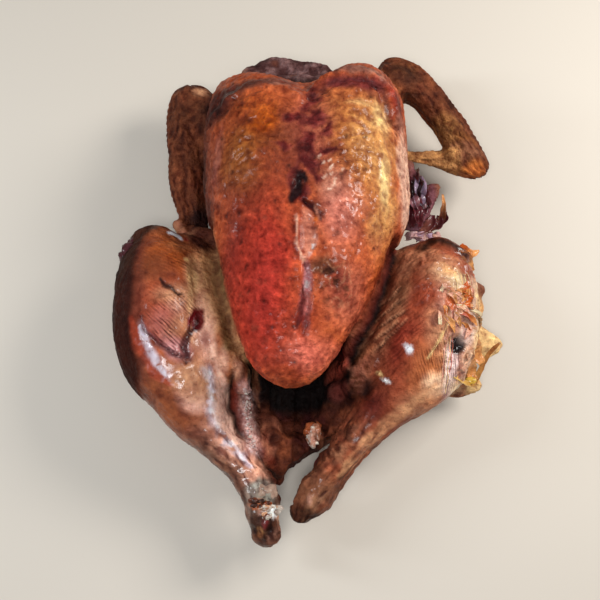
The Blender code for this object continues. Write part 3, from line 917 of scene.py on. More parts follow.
def wrinkled(tone, p):
    """Painted shade in the hollows of the wrinkles, bumps and crumples, and painted light on their ridges,
    from the large to the fine.
    """
    wrinkles, share = shrunken(p)
    bumps, ridged, fine = skin_bumps(p), crinkle(p), fine_crinkle(p)
    for factors, shown in (
        ((0.52, 0.38, 0.38), share * smooth_step(0.52, 0.25, wrinkles) * 0.8),
        ((1.38, 1.55, 1.6), share * smooth_step(0.66, 0.90, wrinkles) * 0.8),
        ((1.2, 1.28, 1.28), smooth_step(0.35, 0.10, bumps) * 0.6),
        ((0.72, 0.60, 0.60), smooth_step(0.55, 0.80, bumps) * 0.5),
        ((0.62, 0.50, 0.50), smooth_step(0.55, 0.22, ridged) * 0.6),
        ((1.28, 1.38, 1.38), smooth_step(0.66, 0.92, ridged) * 0.6),
        ((0.66, 0.54, 0.54), smooth_step(0.45, 0.15, fine) * 0.5),
        ((1.22, 1.30, 1.30), smooth_step(0.70, 0.95, fine) * 0.6),
    ):
        tone = tinted(tone, factors, shown)
    return tone


def spotted(tone, p, ragged):
    """Dark red spots, small scorch marks over the right shoulder, and dark pores all over."""
    for u, v, size in BREAST_SPOTS:
        tone = mix(tone, DEEP_RED * 0.25, oval(ragged, u, v, size, size, soft=0.7) * 0.9)
    scorched = oval(ragged, 0.705, 0.755, 10, 40, soft=0.7)
    tone = mix(tone, DEEP_RED * 0.6, scorched * bell(cells(ragged, 6.5, 9)[0], 0.30) * 0.95)
    some = smooth_step(-0.35, 0.3, grain(p, 12, 85))
    tone = mix(tone, DEEP_RED * 0.35, bell(feather_pits(p), 0.17) * some * 0.75)
    return mix(tone, CHAR, bell(cells(p, 11, 8)[0], 0.11) * 0.9)


def breast_tone(p, r):
    """Patches over an even roast, then the keel, the folds, the wrinkles and the spots."""
    ragged = warped(p, 5, 1.6, 84)
    tone = patched(plain(ROAST, p), p, BREAST_PATCHES, 80)
    tone = split_skin(keel_scorch(tone, p), p, ragged)
    # Painted shade in the trough behind the shoulder fold.
    inner_side = trace(p, SHOULDER_FOLD)[2] > 0
    tone = mix(tone, PLUM * 0.7, bell(trace(ragged, SHOULDER_FOLD)[0] - 4.4, 2.0) * inner_side * 0.7)
    blister, crust = oval(ragged, 0.548, 0.447, 15, 19, turn=18, soft=0.6), blister_folds(p)
    tone = mix(tone, UMBER * 0.8, blister * smooth_step(0.60, 0.35, crust) * 0.85)
    tone = mix(tone, TAN, blister * smooth_step(0.76, 0.92, crust) * 0.35)
    tone = spotted(wrinkled(tone, p), p, ragged) * np.array((0.84, 0.86, 0.86))

    # Low on the sides the skin is plain roasted brown.
    low = smooth_step(0.64, 0.54, r["w"]) * smooth_step(0.30, 0.36, r["v"])
    tone = mix(tone, blend(ROAST, UMBER, 0.4), low * (0.75 + 0.2 * lumps(p, 18, 129)))
    # The neck's half is a little darker, and the left muscle more olive.
    tone = tone * (1 - 0.12 * smooth_step(0.45, 0.60, r["v"]))[:, None]
    return tinted(tone, (0.84, 0.76, 0.50), oval(p, 0.35, 0.73, 34, 56, soft=0.9) * 0.9)


LEFT_LEG_PATCHES = (
    (ORANGE * 0.6, 0.140, 0.53, 24, 22, 0, 0.8, 0.55),
    (BRICK, 0.130, 0.42, 26, 34, 0, 0.7, 0.7),
    (UMBER, 0.105, 0.50, 16, 12, 0, 0.8, 0.6),
    (TAN, 0.165, 0.445, 17, 12, -10, 0.9, 0.8),
    (FLESH * 0.85, 0.178, 0.425, 9, 9, 0, 0.9, 0.6),
    (shade(168, 104, 98), 0.140, 0.395, 13, 12, -30, 0.9, 0.5),
    (TAN * 0.85, 0.175, 0.39, 9, 14, -40, 0.8, 0.5),
    (TAN, 0.215, 0.480, 9, 30, 4, 0.8, 0.8),
    (STRAW, 0.208, 0.475, 4, 26, 4, 0.8, 0.45),
    (shade(156, 112, 74), 0.250, 0.48, 9, 40, 4, 0.7, 0.9),
    (OLIVE, 0.298, 0.390, 9, 30, 22, 0.6, 0.95),
    (TAN * 1.1, 0.252, 0.365, 15, 44, 10, 0.7, 0.95),
    (shade(242, 182, 158), 0.252, 0.370, 11, 34, 12, 0.8, 0.95),
    (shade(232, 178, 158), 0.213, 0.256, 13, 13, 20, 0.8, 0.8),
    (PINK, 0.228, 0.33, 8, 16, 0, 0.8, 0.3),
    (TAN, 0.215, 0.290, 16, 18, 20, 0.8, 0.85),
    (TAN * 0.8, 0.200, 0.305, 7, 8, -30, 0.8, 0.5),
    # Painted highlights on the wet lower leg, and a blue-white painted glint by the knee.
    (PAINTED_HIGHLIGHT, 0.248, 0.306, 7, 4.5, -50, 0.7, 0.75),
    (PAINTED_HIGHLIGHT, 0.258, 0.256, 2.6, 10, 12, 0.7, 0.65),
    (shade(238, 242, 250), 0.152, 0.590, 5.4, 2.2, -35, 0.6, 1.0),
    (SCARLET * 0.6, 0.178, 0.588, 2.6, 2.6, 0, 0.7, 0.9),
    (STRAW, 0.190, 0.527, 2.6, 2.6, 0, 0.8, 0.7),
    (PLUM * 0.6, 0.050, 0.548, 9, 10, 0, 0.6, 0.9),
    (shade(178, 104, 62), 0.168, 0.560, 9, 8, 0, 0.8, 0.7),
)
RIGHT_LEG_PATCHES = (
    (shade(136, 64, 42), 0.69, 0.40, 26, 64, -18, 0.7, 0.95),
    (DULL_TAN, 0.705, 0.44, 11, 40, -22, 0.8, 0.6),
    (shade(116, 48, 30), 0.750, 0.488, 9, 13, 0, 0.9, 0.8),
    (UMBER * 0.7, 0.640, 0.345, 12, 22, -22, 0.8, 0.5),
    (shade(194, 128, 94), 0.765, 0.545, 16, 10, 0, 0.8, 0.8),
    (shade(184, 122, 90), 0.730, 0.515, 7, 11, -20, 0.8, 0.75),
    (shade(132, 44, 30), 0.710, 0.355, 13, 28, -6, 0.8, 0.8),
    (shade(150, 60, 40), 0.750, 0.350, 14, 20, 0, 0.8, 0.6),
    (BRICK, 0.775, 0.440, 14, 22, 0, 0.8, 0.5),
    (shade(178, 104, 60), 0.775, 0.31, 22, 24, 0, 0.8, 0.8),
    (TAN, 0.800, 0.37, 12, 22, 0, 0.8, 0.75),
    (FLESH, 0.815, 0.44, 8, 16, 0, 0.9, 0.6),
    (ORANGE, 0.846, 0.438, 9, 10, 0, 0.6, 0.85),
    (TAN * 0.8, 0.815, 0.49, 18, 16, 0, 0.7, 0.5),
    (FAT, 0.822, 0.490, 13, 12, 30, 0.9, 0.3),
    (FAT, 0.850, 0.476, 8, 12, 16, 0.8, 0.75),
    (GOLD, 0.830, 0.500, 9, 6, -20, 0.8, 0.5),
    (shade(164, 104, 74), 0.826, 0.524, 12, 5, -10, 0.6, 0.85),
    (FLESH, 0.860, 0.36, 9, 26, 0, 0.7, 0.8),
    (MAUVE * 1.6, 0.845, 0.405, 7, 6, 0, 0.7, 0.6),
    (shade(236, 204, 198), 0.826, 0.320, 6, 21, -6, 0.6, 0.95),
    (shade(214, 166, 134), 0.90, 0.37, 18, 40, 0, 0.6, 0.9),
    (shade(240, 196, 142), 0.925, 0.36, 12, 26, 0, 0.7, 0.7),
    (TAN, 0.75, 0.255, 22, 14, 20, 0.8, 0.5),
    # The pit: near black, partly painted shade.
    (CHAR * 0.6, 0.842, 0.360, 5.4, 7.0, -12, 0.4, 1.0),
    (PLUM, 0.790, 0.400, 5, 6, 0, 0.6, 0.6),
    # Painted shade on the inner underside of the thigh, by the cavity.
    (shade(84, 22, 20), 0.622, 0.235, 12, 26, -36, 0.8, 0.85),
    (shade(30, 10, 8), 0.622, 0.290, 11, 9, 0, 0.7, 0.95),
    (shade(236, 196, 160), 0.790, 0.288, 11, 9, 20, 0.8, 0.8),
    (shade(240, 212, 194), 0.893, 0.415, 10, 14, 0, 0.8, 0.8),
    (shade(238, 208, 196), 0.866, 0.378, 6, 8, 0, 0.8, 0.7),
    (shade(238, 204, 172), 0.905, 0.462, 9, 16, 0, 0.8, 0.8),
    # Two painted highlights on the inner side.
    (shade(240, 244, 250), 0.722, 0.347, 2.8, 4.2, 24, 0.6, 1.0),
    (shade(240, 240, 240), 0.671, 0.297, 4.6, 1.6, -30, 0.6, 0.95),
    (STRAW, 0.655, 0.310, 3.4, 1.6, -10, 0.7, 0.8),
)

# The left shank's cut end: colour, place, half sizes in mm, share.
KNUCKLE_PATCHES = (
    (shade(122, 116, 106), 0.374, 0.100, 11, 9, 0.9),
    (shade(176, 170, 158), 0.366, 0.108, 4, 3, 0.7),
    (shade(154, 78, 40), 0.368, 0.076, 7, 3.6, 0.9),
    (shade(222, 222, 220), 0.400, 0.063, 6, 4.6, 0.95),
    (DARK_UMBER, 0.376, 0.036, 9, 8, 0.85),
    (MAROON, 0.384, 0.044, 2.4, 4.0, 0.9),
    (shade(178, 118, 70), 0.372, 0.026, 3, 4, 0.6),
)


def left_thigh_tone(p, r, soft, ragged):
    """Charred, with painted shade, on its outer side, and pink and wet where the skin has peeled back, with
    a painted highlight down its wet streak.
    """
    tone = patched(plain(shade(146, 76, 44), p), p, LEFT_LEG_PATCHES, 87)
    # The outer side darkens to near black: char, with painted shade where it turns from the lamps.
    tone = mix(tone, shade(104, 46, 34), smooth_step(0.115, 0.075, r["u"] + 0.014 * grain(p, 9, 99)) * 0.7)
    rim = r["u"] + 0.012 * grain(p, 12, 95) - 0.25 * np.maximum(0.36 - r["v"], 0)
    burnt = smooth_step(0.082, 0.052, rim) * smooth_step(0.62, 0.54, r["v"])
    tone = mix(tone, shade(42, 10, 4), burnt * 0.95)
    tone = mix(tone, shade(156, 60, 36), stroke(soft, RED_BAND, 5.4) * 0.85)
    # Painted highlight down the wet streak, with pale flecks of painted highlight beside it.
    wet = stroke(warped(p, 4, 1.0, 94), WET_STREAK, 3.4) * smooth_step(-0.75, -0.2, grain(p, 2.6, 116))
    tone = mix(tone, shade(222, 212, 222), wet * 0.9)
    frayed = stroke(ragged, WET_STREAK, 7.0) * smooth_step(0.0, 0.3, lumps(p, 2.6, 104))
    tone = mix(tone, shade(210, 184, 190), frayed * 0.5)
    tone = mix(tone, shade(208, 146, 146), oval(ragged, 0.176, 0.348, 13, 9, -30, 0.8) * 0.8)
    peeled = bell(trace(ragged, PEELED_EDGE)[0], 1.5) * oval(p, 0.15, 0.365, 30, 22, soft=0.4)
    tone = mix(tone, PLUM, peeled * 0.85)

    # The deep hole, dark red with painted shade at its middle and a painted glint in it, and the crack.
    tone = mix(tone, shade(110, 16, 24), oval(ragged, 0.222, 0.405, 5.4, 9.6, turn=-14, soft=0.35))
    tone = mix(tone, PLUM * 0.3, oval(ragged, 0.222, 0.402, 2.6, 6.0, turn=-14, soft=0.8) * 0.8)
    tone = mix(tone, PLUM * 0.6, stroke(ragged, LEFT_HOLE, 2.9) * 0.9)
    glint = oval(ragged, 0.214, 0.382, 3.2, 3.6, soft=0.7) * smooth_step(-0.1, 0.2, grain(p, 1.8, 105))
    tone = mix(tone, PAINTED_HIGHLIGHT, glint)
    tone = mix(tone, CHAR, stroke(ragged, LEFT_CRACK, 1.5) * 0.9)

    # The knee is dark above a charred line.
    distance, _, above = trace(soft, LEFT_KNEE_LINE)
    tone = mix(tone, CHAR, bell(distance, 1.6) * 0.7)
    dark = np.where(above < 0, 1 - smooth_step(9, 12, distance), bell(distance, 3.0))
    return mix(tone, DARK_UMBER, dark * 0.85)


def right_thigh_tone(p, ragged):
    """Brown inside, pale flesh and fat on its torn outer side, and a dark rim at its top end."""
    tone = patched(plain(shade(146, 70, 44), p), p, RIGHT_LEG_PATCHES, 88)
    tone = mix(tone, DARK_UMBER * 0.8, bell(trace(ragged, RIGHT_RIM)[0], 3.4))
    tone = mix(tone, STRAW, bell(trace(p, RIGHT_FOLD)[0], 0.7) * 0.8)
    fine = warped(p, 4, 0.6, 61)
    # Painted shade in the trough of each wrinkle and painted light on its ridge.
    for marks in RIGHT_WRINKLES:
        distance, _, side = trace(fine, marks)
        tone = mix(tone, DARK_UMBER, bell(distance, 1.0) * (side > 0) * 0.7)
        tone = mix(tone, TAN, bell(distance, 1.2) * (side < 0) * 0.5)
    return tone


def along_leg(line, p, shank_starts, shank_full):
    """1 on the leg, how far along it from 0 to 1, 1 on its shank, and the angle round it."""
    along, share, angle = line.measure(p)
    on, walked = 1 - smooth_step(1.2, 1.5, share), along / line.length
    return on, walked, on * smooth_step(shank_starts, shank_full, walked), angle


def left_shank_tone(tone, p, r, soft, ragged):
    """Pale skin, wet along its top under a painted highlight, with painted light on its steep inner edge,
    dark on its outer side, and a grey cut end.
    """
    on, walked, shank, angle = along_leg(LEFT_LEG, p, 0.56, 0.70)
    tone = layered(tone, (
        (shade(200, 142, 118), shank * 0.8),
        (UMBER, shank * smooth_step(1.4, 1.9, -angle) * 0.85),
        (FLESH, shank * smooth_step(0.0, 0.7, grain(p, 9, 96)) * 0.6),
        (UMBER, shank * smooth_step(0.1, 0.7, lumps(warped(p, 8, 3, 106), 7, 107)) * 0.8),
    ))
    # A painted highlight along the top of the shank, streaked, with a sharper core.
    streaked = smooth_step(-0.25, 0.2, lumps(ragged, 5, 98))
    tone = mix(tone, shade(214, 196, 204), stroke(ragged, LEFT_SHINE, 6.5) * streaked * on * 0.9)
    sharp = stroke(warped(p, 3, 0.8, 120), LEFT_SHINE, 3.2) * smooth_step(0.0, 0.15, lumps(p, 3.6, 121))
    tone = mix(tone, shade(240, 236, 242), sharp * on * 0.9)
    outer_side = smooth_step(-0.05, 0.45, angle + 0.2 * grain(p, 8, 126))
    tone = mix(tone, shade(102, 60, 42), shank * outer_side * 0.85)
    # Painted light along the steep inner edge.
    tone = mix(tone, shade(240, 190, 168), stroke(soft, LEFT_EDGE, 6.5) * on * 0.9)

    end = on * smooth_step(0.83, 0.89, walked)
    tone = mix(tone, shade(150, 124, 108), end * smooth_step(-0.3, 0.2, grain(p, 7, 98)) * 0.8)
    tone = mix(tone, DARK_UMBER, end * smooth_step(0.0, 0.5, grain(p, 6, 99)) * 0.85)
    tone = mix(tone, UMBER, end * smooth_step(0.93, 0.98, walked) * 0.7)
    knobbly = warped(p, 3, 1.4, 117)
    for colour, u, v, across, lengthways, share in KNUCKLE_PATCHES:
        patch = oval(knobbly, u, v, across, lengthways, soft=0.4)
        tone = mix(tone, colour, patch * on * high_enough(r["w"]) * share)
    fibres = smooth_step(0.62, 0.40, creases(warped(p, 4, 1.6, 118), 3.6, 119))
    return mix(tone, DARK_UMBER * 0.8, fibres * smooth_step(0.80, 0.86, walked) * on * 0.7)


def right_shank_tone(tone, p, ragged):
    """Brown and dark in patches, with a pale crest and hem, and a dark cut end."""
    on, walked, shank, angle = along_leg(RIGHT_LEG, p, 0.58, 0.74)
    tone = mix(tone, shade(140, 76, 50), shank * 0.85)
    tone = mix(tone, BRICK, shank * smooth_step(0.0, 0.7, grain(p, 12, 101)) * 0.6)
    tone = mix(tone, DARK_UMBER, shank * smooth_step(0.0, 0.6, lumps(warped(p, 8, 3, 106), 8, 102)) * 0.8)
    crest = shank * bell(angle + 0.2 + 0.4 * grain(p, 11, 108), 0.25)
    tone = mix(tone, TAN, crest * smooth_step(-0.2, 0.3, grain(p, 9, 109)) * 0.75)
    hem = stroke(ragged, RIGHT_HEM, 5.0) * smooth_step(-0.8, 0.1, grain(p, 6, 127))
    tone = mix(tone, shade(216, 156, 112), hem * on * 0.6)
    ankle = on * smooth_step(0.80, 0.90, walked)
    tone = mix(tone, shade(110, 74, 52), ankle * 0.6)
    # A pinkish painted glint on the ankle.
    tone = mix(tone, FLESH * 0.8, oval(ragged, 0.492, 0.084, 3.0, 5.0, soft=0.8) * 0.7)
    return mix(tone, DARK_UMBER, on * smooth_step(0.955, 0.99, walked) * 0.7)


def leg_tone(p, r):
    """Both legs, each with its thigh and its shank."""
    soft, ragged = warped(p, 14, 3.0, 90), warped(p, 5, 1.6, 94)
    left, right = left_thigh_tone(p, r, soft, ragged), right_thigh_tone(p, ragged)
    tone = blend(left, right, (r["u"] > 0.5).astype(float)[:, None])
    tone = left_shank_tone(tone, p, r, soft, ragged)
    tone = right_shank_tone(tone, p, ragged)

    # Under the legs the skin stays pale and brown.
    under = smooth_step(0.35, 0.15, r["w"]) * smooth_step(0.86, 0.80, r["u"])
    tone = mix(tone, DULL_TAN, under * 0.5)
    tone = mix(tone, UMBER, under * smooth_step(-0.2, 0.6, grain(p, 16, 100)) * 0.6)
    return mix(tone, DARK_UMBER, bell(cells(p, 5.2, 101)[0], 0.15) * 0.5)


def wing_tone(p, r):
    """Dry brown leather, with a paler right tip and painted shade along the left wing's inner edge."""
    tone = layered(plain(UMBER, p), (
        (shade(124, 64, 40), smooth_step(-0.1, 0.6, lumps(p, 14, 110)) * 0.8),
        (DARK_UMBER, smooth_step(0.1, 0.7, lumps(warped(p, 10, 3, 111), 11, 112)) * 0.8),
        (AMBER * 0.8, r["right_wing"] * smooth_step(-0.1, 0.6, lumps(p, 16, 113)) * 0.5),
        (DARK_UMBER, oval(p, 0.745, 0.945, 16, 12, soft=0.6) * 0.7),
    ))
    tip = RIGHT_WING_TIP.near(warped(p, 9, 3, 115), 1.5, 2.0)
    return layered(tone, (
        (shade(150, 100, 56), oval(p, 0.862, 0.838, 13, 15, 40, 0.7) * 0.7),
        (shade(112, 68, 48), oval(p, 0.908, 0.796, 15, 9, 0, 0.6) * 0.9),
        (shade(168, 116, 70), tip * smooth_step(0.905, 0.880, r["u"]) * 0.85),
        (shade(196, 112, 52), oval(p, 0.934, 0.758, 11, 8, 20, 0.7) * 0.9),
        (TAN, oval(p, 0.205, 0.915, 8, 6, soft=0.8) * 0.7),
        # Painted shade along the left wing's inner edge, beside the breast, and at its foot.
        (CHAR, smooth_step(0.205, 0.238, r["u"]) * r["left_wing"] * 0.9),
        (CHAR * 0.6, oval(warped(p, 6, 2, 124), 0.208, 0.640, 10, 17, soft=0.6) * 0.9),
        (DULL_TAN, smooth_step(0.22, 0.10, r["w"]) * 0.4),
    ))


def neck_tone(p, r):
    """Dark dry folds with painted shade in their troughs, grey ridges, and painted shadow at their foot."""
    fold = neck_folds(p)
    tone = plain(shade(76, 46, 44), p)
    return layered(tone, (
        # Painted shade in the troughs of the folds.
        (CHAR, smooth_step(0.60, 0.35, fold) * 0.9),
        (shade(120, 88, 86), smooth_step(0.66, 0.88, fold) * 0.8),
        (shade(146, 80, 50), smooth_step(0.2, 0.6, grain(p, 12, 120)) * 0.5),
        (HOLLOW_SHADE, smooth_step(0.918, 0.890, r["v"]) * 0.85),
        (BRICK, smooth_step(0.42, 0.20, r["w"]) * 0.6),
    ))


def cavity_tone(p, r):
    """Brown flesh at the opening, and near black behind it: dark flesh, with painted shade deepening it."""
    tone = plain(shade(70, 30, 18), p)
    tone = mix(tone, shade(116, 58, 34), smooth_step(0, 0.6, lumps(p, 9, 130)) * 0.8)
    tone = mix(tone, PLUM * 0.7, smooth_step(0, 0.6, lumps(p, 12, 131)) * 0.8)
    # Deep in the cavity: near black, dark flesh with painted shade.
    deep = smooth_step(0.230, 0.270, r["v"] + 0.016 * grain(p, 12, 132) - 0.10 * abs(r["u"] - 0.46))
    return mix(tone, HOLLOW_SHADE, deep * 0.98)


def tail_tone(p, r):
    """Dark purple and brown fat, with browned flesh on its left."""
    tone = plain(shade(68, 30, 20), p)
    tone = mix(tone, PLUM * 0.6, smooth_step(-0.1, 0.5, lumps(p, 12, 140)) * 0.85)
    tone = mix(tone, shade(124, 60, 36), smooth_step(0.1, 0.7, lumps(p, 9, 141)) * 0.7)
    tone = mix(tone, CHAR, smooth_step(0.3, 0.8, lumps(p, 7, 142)) * 0.8) * 0.62
    return mix(tone, shade(158, 88, 58), oval(warped(p, 8, 3, 143), 0.385, 0.200, 9, 22, -20, 0.8) * 0.8)


def between_tone(p, r):
    """The skin low between the limbs: torn beside the cavity, purple on the right flank."""
    tone = plain(shade(150, 98, 70), p)
    tone = mix(tone, UMBER, smooth_step(-0.1, 0.6, lumps(p, 15, 150)) * 0.6)
    tone = mix(tone, OLIVE, oval(p, 0.262, 0.46, 12, 56, turn=8, soft=0.5) * 0.9)
    tone = mix(tone, PINK, smooth_step(0.2, 0.8, lumps(p, 13, 151)) * 0.4)
    flap = oval(warped(p, 6, 2, 153), 0.575, 0.27, 17, 34, turn=-24, soft=0.4)
    tone = mix(tone, UMBER * 0.9, flap * 0.9)
    tone = mix(tone, PLUM * 0.8, flap * smooth_step(-0.1, 0.5, lumps(p, 8, 154)) * 0.8)
    # On the torn flesh: painted shade in its hollows and painted light on its strings.
    torn = torn_flesh(p)
    tone = mix(tone, shade(150, 92, 74), flap * smooth_step(0.62, 0.85, torn) * 0.7)
    tone = mix(tone, CHAR, flap * smooth_step(0.45, 0.25, torn) * 0.8)
    flank = oval(warped(p, 5, 1.6, 155), 0.775, 0.68, 16, 30, soft=0.4)
    tone = mix(tone, blend(PLUM, MAUVE, 0.5) * 0.9, flank)
    lilac = oval(warped(p, 4, 1.2, 156), 0.762, 0.604, 10, 11, soft=0.7)
    tone = mix(tone, shade(146, 108, 122), lilac * 0.9)
    inner = smooth_step(0.56, 0.40, r["w"]) * smooth_step(0.18, 0.25, r["u"])
    inner = inner * smooth_step(0.82, 0.70, r["u"])
    return mix(tone, UMBER * 0.8, inner * smooth_step(0.2, 0.3, r["v"]) * 0.5)


def back_tone(p, r):
    """The pale, damp skin of the back, which lay in the pan."""
    return mix(plain(DULL_TAN, p), UMBER, smooth_step(-0.3, 0.5, lumps(p, 22, 160)) * 0.8)


def gap_tone(tone, p, n, r, soft):
    """Painted shade and painted light where the breast parts from the legs, and the red flesh of the
    cavity's left wall, with painted shade in the groove beside it.
    """
    high = smooth_step(0.22, 0.36, r["w"]) * smooth_step(-0.3, 0.1, n[:, 2])
    high = high * smooth_step(0.76, 0.66, r["w"])
    distance, _, side = trace(soft, LEFT_GAP)
    # Painted light on the valley's shaded left side; the olive web is its own colour; a dark patch at its
    # top and a line along the gap are painted shade.
    tone = layered(tone, (
        (shade(190, 140, 96), bell(distance, np.where(side > 0, 8.0, 4.0)) * high * 0.9),
        (OLIVE, stroke(soft, LEFT_WEB, 5.5, ends=False) * high * 0.95),
        (shade(66, 22, 14), oval(soft, 0.230, 0.596, 15, 15, soft=0.5) * high * 0.92),
        (UMBER, bell(distance, 2.0) * high * 0.5),
    ))
    # Painted shade on the breast's side beside the right gap, and painted shadow in the gap.
    distance, _, side = trace(soft, RIGHT_GAP)
    tone = mix(tone, shade(96, 16, 11), bell(distance, 9.0) * (side > 0) * high * 0.95)
    tone = mix(tone, HOLLOW_SHADE, bell(distance, np.where(side > 0, 4.0, 2.4)) * high * 0.97)
    distance, _, side = trace(soft, LEFT_WALL)
    wall = (1 - smooth_step(5.5, 8.0, distance)) * (side < 0) * high
    tone = mix(tone, DEEP_RED * 0.38, wall * 0.9)
    tone = mix(tone, UMBER * 0.7, wall * smooth_step(0.275, 0.305, r["v"]) * 0.95)
    # Painted shade in the groove along the wall.
    return mix(tone, HOLLOW_SHADE, bell(distance, 1.5) * high * 0.9)


def flap_tone(tone, p, r, soft):
    """The loose flap outside the right leg, which is thin, dry and pale."""
    flap = smooth_step(0.885, 0.905, r["u"]) * smooth_step(0.24, 0.28, r["v"])
    flap = flap * smooth_step(0.50, 0.46, r["v"]) * smooth_step(0.60, 0.52, r["w"])
    tone = mix(tone, blend(TAN, STRAW, 0.7), flap * 0.9)
    tone = mix(tone, GOLD, flap * smooth_step(0.0, 0.5, grain(p, 9, 164)) * 0.7)
    pale = oval(soft, 0.868, 0.284, 14, 9, soft=0.7) * smooth_step(0.12, 0.20, r["w"])
    return mix(tone, shade(238, 204, 156), pale * 0.9)


# Round the cavity's opening: colour, place and half sizes in mm. The last three are painted light on flesh
# that lies in shade.
OPENING_PATCHES = (
    (shade(192, 132, 104), 0.318, 0.320, 4, 10),
    (shade(230, 172, 144), 0.284, 0.330, 5, 10),
    (shade(168, 76, 58), 0.560, 0.334, 8, 9),
    (shade(128, 62, 52), 0.560, 0.288, 8, 9),
)


def opening_tone(tone, p, r, soft):
    """Browned flesh beside the tail, paler patches round the opening, and the pale beads."""
    fleshy = oval(warped(p, 8, 3, 143), 0.388, 0.200, 8, 19, -16, 0.8)
    fleshy = fleshy * smooth_step(-0.6, 0.2, grain(p, 7, 128))
    tone = mix(tone, shade(172, 104, 78), fleshy * high_enough(r["w"] + 0.1) * 0.8)
    for colour, u, v, across, along in OPENING_PATCHES:
        patch = oval(soft, u, v, across, along, soft=0.8) * smooth_step(0.74, 0.66, r["w"])
        tone = mix(tone, colour, patch * 0.85)
    first, second = beads(p)
    ridge = bead_ridge(p, r, 3.6)
    # The pale ridge of beads; the palest at their middles is painted highlight, and the dark red between
    # them painted shade.
    tone = mix(tone, shade(222, 172, 162), ridge * 1.1)
    tone = mix(tone, shade(236, 218, 218), ridge * smooth_step(0.42, 0.14, first))
    return mix(tone, DEEP_RED * 0.35, ridge * bell(second - first, 0.12) * 0.8)


def mottled(tone, p, soft):
    """Mottling, from as big as a thumb to as small as a seed."""
    blotch, spot = lumps(soft, 11, 162), lumps(p, 4.2, 163)
    tone = tinted(tone, (0.55, 0.40, 0.42), 0.75 * smooth_step(0.12, 0.6, blotch))
    tone = tinted(tone, (1.32, 1.36, 1.32), 0.85 * smooth_step(0.10, 0.6, -blotch))
    tone = tinted(tone, (0.58, 0.46, 0.46), 0.75 * smooth_step(0.12, 0.55, spot))
    return tinted(tone, (1.36, 1.42, 1.40), 0.80 * smooth_step(0.10, 0.55, -spot))


def tones(p, n):
    """The skin's colour at every point."""
    r = regions(p, n)
    tone = plain(DULL_TAN, p)
    for share, painted in (
        (np.ones(len(p)), between_tone),
        (r["breast"], breast_tone),
        (r["tail"], tail_tone),
        (r["cavity"], cavity_tone),
        (r["neck"], neck_tone),
        (np.maximum(r["left_wing"], r["right_wing"]), wing_tone),
        (np.maximum(r["left_leg"], r["right_leg"]), leg_tone),
        (0.6 * r["underside"] * smooth_step(0.45, 0.25, r["w"]), back_tone),
    ):
        here = share > BARELY
        tone[here] = mix(tone[here], painted(p[here], part_of(r, here)), share[here])
    soft = warped(p, 5, 1.2, 161)
    tone = gap_tone(tone, p, n, r, soft)
    tone = flap_tone(tone, p, r, soft)
    tone = opening_tone(tone, p, r, soft)
    return mottled(tone, p, soft)


def coarseness(p, n):
    """How crumpled the skin is between the wrinkles: 0 smooth and wet, 1 dry and crumpled."""
    r = regions(p, n)
    rough = 0.75 + 0.25 * lumps(p, 16, 171) + 0.25 * np.maximum(r["neck"], r["right_wing"] + r["left_wing"])
    rough += 0.3 * r["right_leg"] * oval(p, 0.85, 0.42, 26, 52, soft=0.4)
    rough -= 0.45 * stroke(p, WET_STREAK, 9) + 0.30 * np.maximum(r["left_leg"], r["right_leg"])
    return np.clip(rough, 0.08, 1)


def oiliness(p, n):
    """How wet with fat each point is: 0 dry and crisp, 1 running with it."""
    r = regions(p, n)
    wet = 0.38 + 0.3 * lumps(p, 14, 170)
    wet += 0.5 * stroke(p, WET_STREAK, 7) + 0.4 * r["left_leg"] * smooth_step(0.45, 0.3, r["v"])
    torn_side = 0.35 * r["right_leg"] * smooth_step(0.79, 0.85, r["u"])
    wet += torn_side - 0.3 * oval(p, 0.73, 0.33, 20, 44, turn=-18)
    wet += 0.25 * r["breast"] * oval(p, 0.60, 0.62, 34, 60, soft=0.8)
    wet -= 0.35 * np.maximum(r["neck"], np.maximum(r["left_wing"], r["right_wing"]))
    wet -= 0.5 * r["cavity"] + 0.3 * r["underside"] + 0.5 * r["between"] + 0.3 * r["tail"]
    for gap in (LEFT_GAP, RIGHT_GAP, LEFT_WALL):
        wet -= 1.0 * bell(trace(p, gap)[0], 7)
    wet -= 0.9 * smooth_step(0.10, 0.07, r["u"]) + 0.35 * oval(p, 0.38, 0.50, 26, 50, soft=0.8)
    wet += 0.6 * bell(trace(p, BEADED_RIM)[0], 4) - 0.5 * oval(p, 0.240, 0.740, 16, 50, soft=0.8)
    return np.clip(wet, 0.0, 1)


# ------------ materials


def node(tree, kind, **settings):
    """A new node, with its inputs or its own settings set by name."""
    made = tree.nodes.new(kind)
    for name, value in settings.items():
        if name in made.inputs:
            made.inputs[name].default_value = value
        else:
            setattr(made, name, value)
    return made


